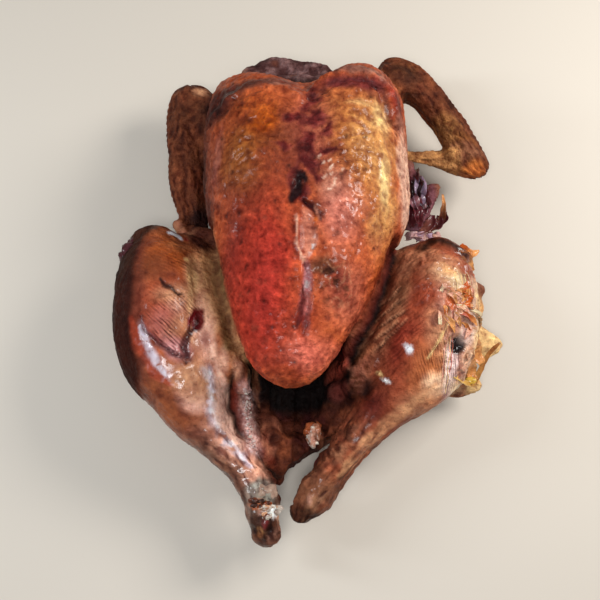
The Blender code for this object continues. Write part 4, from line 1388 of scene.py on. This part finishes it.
def roast_material():
    """Roasted skin: its painted tones, fine wrinkles, mottling and pores, fat that shines."""
    material = bpy.data.materials.new("roasted_skin")
    material.use_nodes = True
    tree = material.node_tree
    link = tree.links.new
    shader = tree.nodes["Principled BSDF"]
    place_in = node(tree, "ShaderNodeTexCoord").outputs["Object"]

    def stored(name, output="Fac"):
        """What the mesh keeps under this name."""
        return node(tree, "ShaderNodeAttribute", attribute_name=name).outputs[output]

    tone, oil, coarse = stored("tone", "Color"), stored("oil"), stored("coarse")
    count, depth = stored("line_count"), stored("line_depth")

    def noise(scale, detail=3.0, distortion=0.0):
        made = node(tree, "ShaderNodeTexNoise", Scale=scale, Detail=detail, Distortion=distortion)
        link(place_in, made.inputs["Vector"])
        return made.outputs["Fac"]

    def ramp(value, low, high, to_low=0.0, to_high=1.0):
        limits = {"From Min": low, "From Max": high, "To Min": to_low, "To Max": to_high}
        made = node(tree, "ShaderNodeMapRange", **limits)
        link(value, made.inputs["Value"])
        return made.outputs["Result"]

    def reckon(operation, a, b):
        made = node(tree, "ShaderNodeMath", operation=operation)
        for slot, value in enumerate((a, b)):
            if isinstance(value, float):
                made.inputs[slot].default_value = value
            else:
                link(value, made.inputs[slot])
        return made.outputs["Value"]

    def plus(a, b):
        return reckon("ADD", a, b)

    def times(a, b):
        return reckon("MULTIPLY", a, b)

    def tint(base, share, factor):
        """The colour brought towards itself times a factor colour."""
        made = node(tree, "ShaderNodeMix", data_type="RGBA", blend_type="MULTIPLY")
        share_in, base_in, factor_in = made.inputs[0], made.inputs[6], made.inputs[7]
        factor_in.default_value = (*factor, 1)
        link(share, share_in)
        link(base, base_in)
        return made.outputs[2]

    # Streaks along the fine lines, part even and part ragged: painted shade in their troughs and painted
    # light on their crests.
    turns = times(plus(count, times(noise(260, 2), 0.6)), math.tau)
    streaks = node(tree, "ShaderNodeTexNoise", noise_dimensions="4D", Scale=130.0, Detail=2.0)
    link(place_in, streaks.inputs["Vector"])
    link(times(count, 0.011), streaks.inputs["W"])
    ragged = ramp(streaks.outputs["Fac"], 0.34, 0.66, -1.0, 1.0)
    wave = plus(times(reckon("SINE", turns, 0.0), 0.5), times(ragged, 0.75))
    troughs = times(ramp(wave, -0.05, -0.9), depth)
    crests = times(ramp(wave, 0.3, 1.0), depth)

    pores = node(tree, "ShaderNodeTexVoronoi", Scale=420.0)
    link(place_in, pores.inputs["Vector"])
    crumple = noise(280, 4, 0.12)
    speckle = noise(760, 3)

    # Crumples: painted shade where the bump sinks and painted light where it rises.
    colour = tint(tone, times(ramp(crumple, 0.52, 0.70), coarse), (0.54, 0.38, 0.37))
    colour = tint(colour, times(ramp(crumple, 0.48, 0.32), coarse), (1.4, 1.48, 1.46))
    colour = tint(colour, times(ramp(speckle, 0.58, 0.72), coarse), (0.66, 0.54, 0.52))
    colour = tint(colour, times(ramp(speckle, 0.40, 0.30), coarse), (1.2, 1.2, 1.18))
    colour = tint(colour, ramp(pores.outputs["Distance"], 0.16, 0.05), (0.5, 0.34, 0.32))
    colour = tint(colour, troughs, (0.30, 0.18, 0.18))
    colour = tint(colour, crests, (1.35, 1.4, 1.4))
    link(colour, shader.inputs["Base Color"])

    rough = reckon("SUBTRACT", ramp(crumple, 0.3, 0.7, 0.55, 0.75), ramp(oil, 0.0, 1.0, 0.0, 0.28))
    link(rough, shader.inputs["Roughness"])
    link(ramp(oil, 0.25, 1.0, 0.0, 0.85), shader.inputs["Coat Weight"])
    for name, value in (
        ("Coat Roughness", 0.16),
        ("Specular IOR Level", 0.09),
        ("Subsurface Weight", 0.06),
        ("Subsurface Radius", (0.003, 0.0012, 0.0007)),
        ("Subsurface Scale", 1.0),
    ):
        shader.inputs[name].default_value = value

    crumpled = plus(ramp(crumple, 0.2, 0.8, 2.2, 0.0), ramp(speckle, 0.2, 0.8, 0.5, 0.0))
    height = times(crumpled, coarse)
    height = plus(height, ramp(pores.outputs["Distance"], 0.0, 0.2, -0.25, 0.0))
    height = plus(height, times(times(wave, depth), 0.55))
    bump = node(tree, "ShaderNodeBump", Strength=0.75, Distance=0.0011)
    link(height, bump.inputs["Height"])
    link(bump.outputs["Normal"], shader.inputs["Normal"])
    return material


# ------------ closed shapes


def through(marks, n):
    """n points on a smooth curve through the marks, which may carry more than a place."""
    marks = np.array(marks, float)
    padded = np.concatenate((2 * marks[:1] - marks[1:2], marks, 2 * marks[-1:] - marks[-2:-1]))
    at = np.linspace(0, len(marks) - 1, n)
    i = np.minimum(at.astype(int), len(marks) - 2)
    t = (at - i)[:, None]
    a, b, c, d = (padded[i + k] for k in range(4))
    return b + 0.5 * t * (c - a + t * (2 * a - 5 * b + 4 * c - d + t * (3 * (b - c) + d - a)))


def frames_along(path):
    """The heading, the side and the upper side at each point of a path."""
    heading = np.gradient(path, axis=0)
    heading /= np.linalg.norm(heading, axis=1)[:, None] + 1e-12
    side = np.cross(heading, (0.05, 0.02, 1.0))
    side /= np.linalg.norm(side, axis=1)[:, None] + 1e-12
    return heading, side, np.cross(side, heading)


def roll(path, radii, sides=10, steps_per_mark=6):
    """A closed round roll along a path, with round ends: its points and faces."""
    n = (len(path) - 1) * steps_per_mark + 1
    course = through(np.column_stack((path, radii)), n)
    centre, radius = course[:, :3], course[:, 3]
    heading, side, over = frames_along(centre)
    rings = []
    for end in (0, None, -1):
        if end is None:
            rings += [(centre[i], radius[i], i) for i in range(n)]
            continue
        outward = heading[end] if end else -heading[end]
        caps = [
            (centre[end] + outward * radius[end] * math.sin(a), radius[end] * math.cos(a), end)
            for a in (0.55, 1.05, 1.4)
        ]
        rings += caps if end else caps[::-1]
    turn = np.linspace(0, math.tau, sides, endpoint=False)
    points = [c + r * (math.cos(t) * side[i] + math.sin(t) * over[i]) for c, r, i in rings for t in turn]
    faces = [
        (k * sides + j, k * sides + (j + 1) % sides, (k + 1) * sides + (j + 1) % sides, (k + 1) * sides + j)
        for k in range(len(rings) - 1)
        for j in range(sides)
    ]
    last = (len(rings) - 1) * sides
    faces += [tuple(range(sides))[::-1], tuple(last + j for j in range(sides))]
    return np.array(points), faces


def ribbon(path, widths, thickness, bow=0.0, lean=0.0, seed=0, ragged=0.35, steps=9, across=6):
    """A closed strip of torn skin: widths and thickness in metres, bow and lean in radians."""
    n = (len(path) - 1) * steps + 1
    course = through(np.column_stack((path, widths)), n)
    centre, width = course[:, :3], np.maximum(course[:, 3], 0.0002)
    heading, side, over = frames_along(centre)
    tilt = lean + 0.5 * grain(centre, 9, seed + 5)
    side, over = (
        side * np.cos(tilt)[:, None] + over * np.sin(tilt)[:, None],
        over * np.cos(tilt)[:, None] - side * np.sin(tilt)[:, None],
    )
    top, bottom = [], []
    for k, s in enumerate(np.linspace(-1, 1, across)):
        tear = 1 + ragged * grain(centre + side * s * MM, 2.6, seed + 11 * (s > 0)) * abs(s)
        reach = width * s * tear
        rise = bow * width * s * s + 0.3 * width * grain(centre + side * reach[:, None], 4, seed + 3)
        at = centre + side * reach[:, None] + over * rise[:, None]
        half = thickness * (0.5 - 0.32 * abs(s))
        top.append(at + over * half)
        bottom.append(at - over * half)
    top, bottom = np.array(top), np.array(bottom)
    points = np.concatenate((top.reshape(-1, 3), bottom.reshape(-1, 3)))
    low = across * n
    faces = []
    for k in range(across - 1):
        for i in range(n - 1):
            a, b = k * n + i, (k + 1) * n + i
            faces += [(a, a + 1, b + 1, b), (low + a, low + b, low + b + 1, low + a + 1)]
    for i in range(n - 1):
        a, b = i, (across - 1) * n + i
        faces += [(a, low + a, low + a + 1, a + 1), (b, b + 1, low + b + 1, low + b)]
    for k in range(across - 1):
        a, b = k * n, (k + 1) * n
        faces += [(a, b, low + b, low + a), (a + n - 1, low + a + n - 1, low + b + n - 1, b + n - 1)]
    return points, faces


def lump(centre, radii, seed=0, rough=0.25, bumps=2.5):
    """A closed knobbly lump: radii in metres, bumps in mm."""
    made = bmesh.new()
    bmesh.ops.create_icosphere(made, subdivisions=3, radius=1.0)
    points = np.array([vert.co for vert in made.verts])
    faces = [tuple(vert.index for vert in face.verts) for face in made.faces]
    made.free()
    points = points * np.array(radii) + centre
    out = (points - centre) / np.linalg.norm(points - centre, axis=1)[:, None]
    return points + out * (rough * min(radii) * lumps(points, bumps, seed))[:, None], faces


# ------------ the skin over the solid


def points_of(mesh):
    flat = np.empty(len(mesh.vertices) * 3, np.float32)
    mesh.vertices.foreach_get("co", flat)
    return flat.reshape(-1, 3).astype(float)


def normals_of(mesh):
    flat = np.empty(len(mesh.vertices) * 3, np.float32)
    mesh.vertex_normals.foreach_get("vector", flat)
    return flat.reshape(-1, 3).astype(float)


def put_points(mesh, points):
    mesh.vertices.foreach_set("co", points.astype(np.float32).ravel())
    mesh.update()


def apply_all(obj):
    bpy.context.view_layer.objects.active = obj
    for modifier in list(obj.modifiers):
        bpy.ops.object.modifier_apply(modifier=modifier.name)


def triangles(obj):
    return sum(len(face.vertices) - 2 for face in obj.data.polygons)


def store(mesh, name, values):
    """Keeps one number for each point on the mesh, for its material to read."""
    mesh.attributes.new(name, "FLOAT", "POINT").data.foreach_set("value", values.astype(np.float32))


def store_tones(mesh, tone):
    colour = mesh.color_attributes.new("tone", "FLOAT_COLOR", "POINT")
    flat = np.concatenate((np.clip(tone, 0, 1), np.ones((len(tone), 1))), axis=1)
    colour.data.foreach_set("color", flat.astype(np.float32).ravel())


def new_object(name, points, faces):
    mesh = bpy.data.meshes.new(name)
    mesh.from_pydata([tuple(p) for p in points], [], faces)
    mesh.update()
    obj = bpy.data.objects.new(name, mesh)
    bpy.context.scene.collection.objects.link(obj)
    return obj


# Wedges of air that the plain solid fills, as outlines seen from above.
LEG_NOTCH = (
    (0.462, 0.070), (0.480, 0.106), (0.522, 0.156), (0.576, 0.199),
    (0.584, 0.220), (0.500, 0.190), (0.428, 0.152), (0.414, 0.104),
)
WING_NOTCH = (
    (0.724, 0.800), (0.780, 0.840), (0.798, 0.862),
    (0.758, 0.902), (0.742, 0.902), (0.724, 0.880),
)


def notch(outline, top):
    """A wedge of air from under the bird up to this height, to be cut out of it."""
    n = len(outline)
    points = [place(u, v, w) for w in (-0.05, top) for u, v in outline]
    sides = [(i, (i + 1) % n, n + (i + 1) % n, n + i) for i in range(n)]
    wedge = new_object("notch", points, [tuple(range(n))[::-1], tuple(range(n, 2 * n)), *sides])
    wedge.hide_render = True
    return wedge


def welded_solid():
    """A copy of the solid, whose corners are joined where its faces meet."""
    bird = bpy.data.objects.new("roasted_bird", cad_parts[NODE].data.copy())
    bpy.context.scene.collection.objects.link(bird)
    bpy.ops.object.select_all(action="DESELECT")
    bpy.context.view_layer.objects.active = bird
    bird.select_set(True)
    bpy.ops.object.mode_set(mode="EDIT")
    bpy.ops.mesh.select_all(action="SELECT")
    bpy.ops.mesh.remove_doubles(threshold=0.01 * MM)
    bpy.ops.object.mode_set(mode="OBJECT")
    return bird


def cut_wedges(bird):
    """Rounds the solid, and cuts the wedges of air out of it."""
    rounded = bird.modifiers.new("rounded", "SUBSURF")
    rounded.levels = 1
    wedges = [notch(LEG_NOTCH, 0.34), notch(WING_NOTCH, 0.56)]
    for wedge in wedges:
        cut = bird.modifiers.new("cut", "BOOLEAN")
        cut.operation = "DIFFERENCE"
        cut.object = wedge
    apply_all(bird)
    for wedge in wedges:
        bpy.data.objects.remove(wedge)


def wrap(bird):
    """Draws one fine and smooth skin round the bird and its extra flesh."""
    for marks in EXTRA_FLESH:
        points, faces = roll([place(*mark[:3]) for mark in marks], [mark[3] * MM for mark in marks])
        new_object("extra_flesh", points, faces).select_set(True)
    bpy.ops.object.join()
    fine = bird.modifiers.new("fine_skin", "REMESH")
    fine.mode = "VOXEL"
    fine.voxel_size = SKIN_GRAIN
    soft = bird.modifiers.new("soft", "SMOOTH")
    soft.factor = 0.5
    soft.iterations = 8
    apply_all(bird)


def sculpt(mesh):
    """Pushes the flesh about, and then moves the skin in and out by its relief."""
    p = points_of(mesh)
    for at, reach, move in PUSHES:
        pull = bell(np.linalg.norm(p - place(*at), axis=1) / MM, reach * 0.6)
        p += pull[:, None] * np.array(move) * MM
    put_points(mesh, p)
    n = normals_of(mesh)
    p += n * relief(p, n)[:, None] * MM
    put_points(mesh, np.clip(p, LOW, HIGH))


def thin_out(bird):
    """Fewer triangles: first where the skin faces down, then all over."""
    unseen = bird.vertex_groups.new(name="unseen")
    below = normals_of(bird.data)[:, 2] < -0.25
    unseen.add([int(i) for i in np.nonzero(below)[0]], 1.0, "REPLACE")
    for group, weight in (("unseen", 4.0), ("", 1.0)):
        thin = bird.modifiers.new("thin_out", "DECIMATE")
        thin.ratio = min(1.0, SKIN_TRIANGLES / triangles(bird))
        thin.vertex_group = group
        thin.vertex_group_factor = weight
        apply_all(bird)
    bird.vertex_groups.clear()
    put_points(bird.data, np.clip(points_of(bird.data), LOW, HIGH))


def paint(mesh, material):
    """Stores on the skin all that its material reads."""
    mesh.materials.clear()
    mesh.materials.append(material)
    mesh.shade_smooth()
    p, n = points_of(mesh), normals_of(mesh)
    store_tones(mesh, tones(p, n))
    store(mesh, "oil", oiliness(p, n))
    store(mesh, "coarse", coarseness(p, n))
    count, depth = fine_lines(p, n)
    store(mesh, "line_count", count)
    store(mesh, "line_depth", depth)


def roasted_bird(material):
    """The whole bird: a fine skin over the solid, sculpted, thinned and painted."""
    bird = welded_solid()
    cut_wedges(bird)
    wrap(bird)
    sculpt(bird.data)
    thin_out(bird)
    paint(bird.data, material)
    return bird


# ------------ loose pieces


class Heap:
    """Loose parts of one kind, gathered into one piece of the bird."""

    def __init__(self, name):
        self.name, self.points, self.faces, self.tone, self.oil = name, [], [], [], []
        self.size = 0

    def add(self, shape, tone, oil=0.4, tip=None, mottle=0.3, dark=None, flecks=None):
        """Adds points and faces in one tone, or in a run from one tone at the root to the tip's,
        with flecks of another."""
        points, faces = shape
        points = np.clip(points, LOW, HIGH)
        colour = plain(tone, points)
        if tip is not None:
            far = np.linalg.norm(points - points[0], axis=1)
            colour = mix(colour, tip, smooth_step(0.25, 0.95, far / (far.max() + 1e-9)))
        if flecks is not None:
            colour = mix(colour, flecks, smooth_step(0.0, 0.25, lumps(points, 2.6, 310)))
        dark = UMBER if dark is None else dark
        colour = mix(colour, dark, mottle * smooth_step(-0.1, 0.6, lumps(points, 3.0, 300 + self.size % 7)))
        self.points.append(points)
        self.faces += [tuple(i + self.size for i in face) for face in faces]
        self.tone.append(colour)
        self.oil.append(np.full(len(points), oil))
        self.size += len(points)

    def finish(self, material):
        obj = new_object(self.name, np.concatenate(self.points), self.faces)
        mesh = obj.data
        outward = bmesh.new()
        outward.from_mesh(mesh)
        bmesh.ops.recalc_face_normals(outward, faces=outward.faces)
        outward.to_mesh(mesh)
        outward.free()
        store_tones(mesh, np.concatenate(self.tone))
        store(mesh, "oil", np.concatenate(self.oil))
        store(mesh, "coarse", np.full(self.size, 0.5))
        mesh.materials.append(material)
        mesh.shade_smooth()
        return obj


class Ground:
    """The finished skin, to lay loose pieces on."""

    def __init__(self, bird):
        bpy.context.view_layer.update()
        self.bird = bird

    def at(self, u, v, lift=0.0):
        """The top of the skin at this place, lifted by this many mm along its normal."""
        start = Vector(place(u, v, 1.2))
        hit, spot, normal, _ = self.bird.ray_cast(start, Vector((0, 0, -1)))
        if not hit:
            return place(u, v, 0.2)
        return np.array(spot) + np.array(normal) * lift * MM


def small_curls(heap, ground):
    """Small curls of skin over the right leg's torn side, but not over its pit."""
    for k in range(34):
        a, b, c, d = draws(4, k, 11, 33)
        u, v, way = 0.800 + 0.086 * a, 0.370 + 0.096 * b, math.tau * c
        if v < 0.410 and abs(u - 0.842) < 0.026:
            continue
        bend = np.array((math.cos(way) / 240, math.sin(way) / 312)) * (3.5 + 3 * d)
        mid, far = (u + bend[0], v + bend[1]), (u + 1.7 * bend[0], v + 1.7 * bend[1] - 0.004)
        path = [ground.at(u, v, -0.6), ground.at(*mid, 0.3 + 0.6 * d), ground.at(*far, 0.8 * c)]
        tone = (TAN, FLESH * 0.9, ORANGE * 0.7, TAN * 0.8, GOLD, FAT * 0.8)[k % 6]
        widths = np.array((0.9 + 0.7 * a, 1.0 + 0.8 * c, 0.3)) * MM
        curl = ribbon(path, widths, 0.5 * MM, 0.8, 0.8 * (a - 0.5), 170 + k)
        heap.add(curl, tone, 0.7, (GOLD, FLESH)[k % 2])


def crisp_shreds(ground, material):
    """Golden torn skin that stands off the outer side of the right leg."""
    heap = Heap("crisp_shreds")

    def shred(marks, widths, tone, tip, seed, thick=0.9, mottle=0.35):
        path = [place(*mark) if len(mark) == 3 else ground.at(*mark, -0.6) for mark in marks]
        strip = ribbon(path, [w * MM for w in widths], thick * MM, 0.5, 0.0, seed)
        heap.add(strip, tone, 0.6, tip, mottle)

    # Off the end of the dark rim.
    marks = ((0.868, 0.560), (0.890, 0.556), (0.905, 0.556, 0.44), (0.921, 0.563, 0.43))
    shred(marks, (3.0, 3.2, 2.4, 0.8), ORANGE * 0.8, GOLD, 1)
    marks = ((0.862, 0.545), (0.884, 0.540), (0.899, 0.535, 0.40), (0.908, 0.528, 0.38))
    shred(marks, (2.4, 3.0, 2.2, 1.0), shade(126, 72, 40), GOLD, 2)
    # Beside the pale fat.
    marks = ((0.862, 0.470), (0.878, 0.462), (0.896, 0.470, 0.41), (0.913, 0.489, 0.40))
    shred(marks, (3.0, 2.8, 2.0, 0.8), ORANGE, GOLD, 3)
    marks = ((0.858, 0.444), (0.882, 0.436), (0.902, 0.440, 0.38))
    shred(marks, (3.4, 3.0, 1.2), ORANGE * 0.9, AMBER, 4)
    marks = ((0.850, 0.420), (0.873, 0.412), (0.893, 0.405, 0.37))
    shred(marks, (2.2, 2.4, 1.4), PINK, GOLD, 5)
    small_curls(heap, ground)
    # The long loose flap's golden hem, with a fold of skin at its foot.
    marks = (
        (0.836, 0.303),
        (0.862, 0.302),
        (0.898, 0.309, 0.27),
        (0.918, 0.331, 0.26),
        (0.945, 0.368, 0.27),
        (0.976, 0.392, 0.28),
    )
    widths = (1.0, 1.5, 1.9, 1.6, 1.4, 0.7)
    shred(marks, widths, shade(216, 168, 84), shade(140, 84, 36), 6, thick=1.4, mottle=0.15)
    fold = lump(place(0.897, 0.316, 0.29), np.array((3.4, 2.4, 1.2)) * MM, 7, 0.8, 2.0)
    heap.add(fold, shade(196, 160, 60), 0.6)
    marks = ((0.880, 0.390), (0.905, 0.372, 0.33), (0.925, 0.350, 0.28))
    shred(marks, (3.0, 4.2, 2.2), TAN, GOLD, 8, thick=0.7)
    marks = ((0.872, 0.350), (0.893, 0.335, 0.31), (0.905, 0.318, 0.27))
    shred(marks, (3.4, 4.0, 2.4), TAN, GOLD, 9, thick=0.7)
    return heap.finish(material)


# The knobs of the burnt nub, as (u, v, w, size in mm).
NUB_KNOBS = (
    (0.040, 0.556, 0.46, 5.0),
    (0.028, 0.548, 0.44, 4.2),
    (0.050, 0.572, 0.45, 4.0),
    (0.034, 0.534, 0.44, 3.4),
)


def burnt_nub(ground, material):
    """A burnt twist of skin that sticks out at the top of the left leg, with a pale lump as a painted
    glint.
    """
    heap = Heap("burnt_nub")
    for k, (u, v, w, size) in enumerate(NUB_KNOBS):
        knob = lump(place(u, v, w), np.array((size, size * 1.2, size)) * MM, 150 + k, 0.55, 3)
        heap.add(knob, PLUM * 0.7, 0.7, dark=CHAR)
    # A pale lump as a painted glint.
    glint = lump(place(0.030, 0.538, 0.475), np.array((1.6, 1.2, 1.0)) * MM, 160, 0.4, 1.4)
    heap.add(glint, PAINTED_HIGHLIGHT, 1.0, mottle=0.1)
    return heap.finish(material)


def flank_shreds(ground, material):
    """Burnt purple skin bunched up between the right wing and the right leg."""
    heap = Heap("flank_shreds")
    for seed in range(22):
        a, b, c, d = draws(4, seed, 5, 31)
        u, v = 0.748 + 0.046 * a, 0.748 - 0.100 * b
        path = [
            place(u, v, 0.30 + 0.08 * c),
            place(u + 0.012 * (d - 0.5), v - 0.03, 0.36 + 0.08 * c),
            place(u + 0.03 * (d - 0.3), v - 0.05, 0.33 + 0.08 * a),
        ]
        tone = (blend(PLUM, CHAR, c), MAUVE * 0.8, PLUM * 1.2, shade(150, 128, 150))[seed % 4]
        widths = np.array((1.6, 2.8 + 1.4 * a, 1.0)) * MM
        strip = ribbon(path, widths, 0.9 * MM, 0.9, 1.2 * (b - 0.5), 40 + seed)
        heap.add(strip, tone, 0.9, mottle=0.5, dark=CHAR)
    # Browner strips that reach towards the right leg.
    for k, (u, v, w) in enumerate(((0.806, 0.628, 0.34), (0.826, 0.628, 0.33), (0.842, 0.636, 0.33))):
        path = [place(u - 0.03, v - 0.01, w - 0.03), place(u, v, w), place(u + 0.006, v + 0.020, w + 0.010)]
        widths = np.array((3.0, 3.2, 1.4)) * MM
        heap.add(ribbon(path, widths, 1.1 * MM, 0.9, 0.3 * k, 60 + k), shade(124, 70, 56), 0.6, tip=PLUM)
    path = [place(0.834, 0.640, 0.33), place(0.840, 0.664, 0.37), place(0.838, 0.688, 0.38)]
    heap.add(ribbon(path, np.array((2.4, 1.6, 0.5)) * MM, 1.0 * MM, 0.8, 0.2, 66), UMBER, 0.5, tip=GOLD)
    # Pale folds at their foot.
    for k in range(9):
        a, b, c = draws(3, k, 12, 35)
        u, v = 0.760 + 0.008 * k, 0.598 + 0.020 * b
        path = [
            place(u - 0.012, v, 0.27),
            place(u, v + 0.006 * (c - 0.5), 0.30 + 0.03 * a),
            place(u + 0.014, v + 0.012 * (c - 0.5), 0.26),
        ]
        tone = blend(shade(214, 164, 136), shade(186, 158, 186), c)
        strip = ribbon(path, np.array((2.0, 2.6, 1.0)) * MM, 1.4 * MM, 0.9, a - 0.5, 70 + k)
        heap.add(strip, tone, 0.5, mottle=0.4)
    return heap.finish(material)


def beaded_rim(ground, material):
    """Two rows of pale beads of gristle along the left edge of the cavity."""
    heap = Heap("beaded_rim")
    for k, (u, v) in enumerate(through(BEADED_RIM, 30)):
        for side in (-0.007, 0.001):
            a, b, c = draws(3, k, round(900 * side), 5)
            if c < 0.3:
                continue
            spot = ground.at(u + side + 0.006 * a, v + 0.006 * (b - 0.5), -0.25)
            size = (0.6 + 0.5 * b * b) * MM
            tone = blend(shade(190, 150, 146), GRISTLE * 1.15, 0.8 * a)
            heap.add(lump(spot, np.array((1.3, 1.0, 0.8)) * size, 80 + k, 0.5, 0.9), tone, 0.6, mottle=0.4)
    return heap.finish(material)


# The torn bone end beside the tail, as lumps: (u, v), lift in mm, (half sizes in mm).
BONE_LUMPS = (
    ((0.494, 0.220), 0.2, (3.4, 4.0, 2.6)),
    ((0.508, 0.214), 0.6, (3.0, 4.4, 2.8)),
    ((0.502, 0.200), 0.4, (2.8, 3.6, 2.4)),
    ((0.514, 0.226), 0.0, (2.2, 2.6, 2.0)),
    ((0.490, 0.206), 0.0, (2.0, 3.0, 1.8)),
)


def ankle_scraps(heap, ground):
    """Scraps of gristle and browned flesh on the left ankle, and tatters over its end."""
    for k in range(9):
        a, b, c = draws(3, k, 7, 15)
        at = ground.at(0.380 + 0.034 * a, 0.074 - 0.020 * b, -0.6 + 0.3 * c)
        size = np.array((2.4 + a, 1.4 + b, 1.2)) * (0.7 + 0.5 * c) * MM
        scrap = lump(at, size, 112 + k, 1.2, 1.6)
        heap.add(scrap, GRISTLE * 1.1, 0.9, mottle=0.7, flecks=(TAN, UMBER)[k % 2])
    for k in range(9):
        a, b, c = draws(3, k, 8, 16)
        at = ground.at(0.354 + 0.036 * a, 0.086 - 0.016 * b, -0.5 + 0.3 * c)
        size = np.array((2.0 + a, 1.2, 1.1)) * (0.8 + 0.5 * c) * MM
        tone = (ORANGE * 0.6, UMBER, TAN * 0.9)[k % 3]
        heap.add(lump(at, size, 130 + k, 1.2, 1.6), tone, 0.7, mottle=0.6, flecks=DARK_UMBER)
    for k in range(7):
        u, v = 0.366 + 0.007 * k, 0.046 - 0.003 * (k % 3)
        path = [
            place(u, v + 0.02, 0.33),
            place(u + 0.002, v - 0.004, 0.315),
            place(u + 0.004, v - 0.024, 0.27),
        ]
        tatter = ribbon(path, np.array((1.6, 1.8, 0.7)) * MM, 1.2 * MM, 0.6, 0.5 * k, 96 + k)
        heap.add(tatter, (PLUM, UMBER, TAN, DARK_UMBER)[k % 4], 0.6)


def gristle(ground, material):
    """The left shank's cut end with its scraps, and the bone end beside the tail."""
    heap = Heap("gristle")
    grey = shade(152, 126, 110)
    for at, radii, tone, seed in (
        ((0.366, 0.100, 0.352), (6.5, 7.5, 5.5), grey, 90),
        ((0.392, 0.098, 0.342), (5.5, 6.0, 5.0), grey * 1.2, 91),
        ((0.378, 0.080, 0.346), (5.0, 4.5, 4.0), grey * 0.5, 92),
    ):
        heap.add(lump(place(*at), np.array(radii) * MM, seed, 0.5, 3.0), tone, 0.5, mottle=0.5)
    ankle_scraps(heap, ground)
    for k, (at, lift, radii) in enumerate(BONE_LUMPS):
        tone = (shade(150, 76, 44), shade(164, 104, 78), shade(184, 132, 110))[k % 3]
        flecks = (None, GRISTLE, GRISTLE * 1.2)[k % 3]
        shape = lump(ground.at(*at, lift), np.array(radii) * MM, 140 + k, 1.3, 2.0)
        heap.add(shape, tone, 0.6, mottle=0.7, dark=DARK_UMBER, flecks=flecks)
    return heap.finish(material)


def flesh_strings(ground, material):
    """Thin strings of fat and flesh where the skin has torn on the right leg."""
    heap = Heap("flesh_strings")

    def string(marks, thick, tone, seed):
        path = []
        for u, v in through(marks, len(marks) * 4):
            wobble = grain(np.array([place(u, v)]), 5, 500 + seed)[0]
            path.append(ground.at(u + 0.004 * wobble, v, 0.05 + 0.25 * wobble))
        radii = thick * MM * (0.75 + 0.5 * draws(len(path), seed, 2, 21))
        heap.add(roll(path, radii, 6, 2), tone, 0.6, mottle=0.45)

    string(RIGHT_FOLD, 0.18, STRAW, 1)
    for k in range(6):
        a, b = draws(2, k, 4, 22)
        u = 0.802 + 0.004 * k + 0.003 * a
        marks = ((u + 0.010, 0.378 - 0.02 * b), (u + 0.004, 0.335), (u, 0.305 - 0.03 * a))
        string(marks, 0.18 + 0.1 * b, (FLESH, PINK, FAT, STRAW)[k % 4], 2 + k)
    for k in range(6):
        a, b = draws(2, k, 6, 23)
        u = 0.842 + 0.007 * k + 0.003 * a
        marks = ((u, 0.512 - 0.02 * b), (u + 0.002, 0.492), (u + 0.003, 0.462 + 0.015 * a))
        string(marks, 0.24, (STRAW, FAT)[k % 2], 9 + k)
    return heap.finish(material)


# ------------ the room


def aim(obj, target):
    obj.rotation_mode = "QUATERNION"
    obj.rotation_quaternion = (Vector(target) - obj.location).to_track_quat("-Z", "Y")


def camera():
    """Looks down on the bird from over its tail."""
    elevation, distance, half_width = math.radians(74), 0.64, 0.18
    target = Vector(place(0.468, 0.463, 0.432))
    back = Vector((0, -math.cos(elevation), math.sin(elevation)))
    data = bpy.data.cameras.new("camera")
    data.sensor_width = 36
    data.lens = data.sensor_width * distance / (2 * half_width)
    data.clip_start = 0.01
    obj = bpy.data.objects.new("camera", data)
    bpy.context.scene.collection.objects.link(obj)
    obj.location = target + back * distance
    aim(obj, target)
    bpy.context.scene.camera = obj


def lamp(name, location, size, power, colour):
    data = bpy.data.lights.new(name, "AREA")
    data.shape = "RECTANGLE"
    data.size, data.size_y = size
    data.energy = power
    data.color = colour
    obj = bpy.data.objects.new(name, data)
    bpy.context.scene.collection.objects.link(obj)
    obj.location = location
    aim(obj, (0, 0, 0.04))


def room():
    """A pale floor just under the bird, in soft daylight from the neck's right."""
    bpy.ops.mesh.primitive_plane_add(size=4, location=(0, 0, -0.6 * MM))
    floor = bpy.context.object
    floor.name = "floor"
    material = bpy.data.materials.new("pale_floor")
    material.use_nodes = True
    shader = material.node_tree.nodes["Principled BSDF"]
    shader.inputs["Base Color"].default_value = (0.62, 0.56, 0.48, 1)
    shader.inputs["Roughness"].default_value = 0.6
    floor.data.materials.append(material)

    lamp("window", (0.50, 0.22, 0.50), (0.30, 0.26), 4.3, (1.0, 0.97, 0.93))
    lamp("far_window", (-0.56, 0.06, 0.50), (0.10, 0.40), 2.2, (0.86, 0.93, 1.0))
    lamp("overhead", (-0.05, -0.30, 0.9), (0.24, 0.20), 3.2, (0.96, 0.98, 1.0))
    world = bpy.data.worlds.new("room_light")
    world.use_nodes = True
    world.node_tree.nodes["Background"].inputs["Color"].default_value = (0.95, 0.97, 1.0, 1)
    world.node_tree.nodes["Background"].inputs["Strength"].default_value = 0.22
    bpy.context.scene.world = world
    bpy.context.scene.view_settings.view_transform = "Standard"


def main():
    bpy.ops.object.select_all(action="DESELECT")
    camera()
    room()
    material = roast_material()
    bird = roasted_bird(material)
    ground = Ground(bird)
    pieces = [bird]
    for make in (crisp_shreds, burnt_nub, flank_shreds, beaded_rim, gristle, flesh_strings):
        pieces.append(make(ground, material))
    for piece in pieces:
        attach(piece, "root")
        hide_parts(NODE)


main()
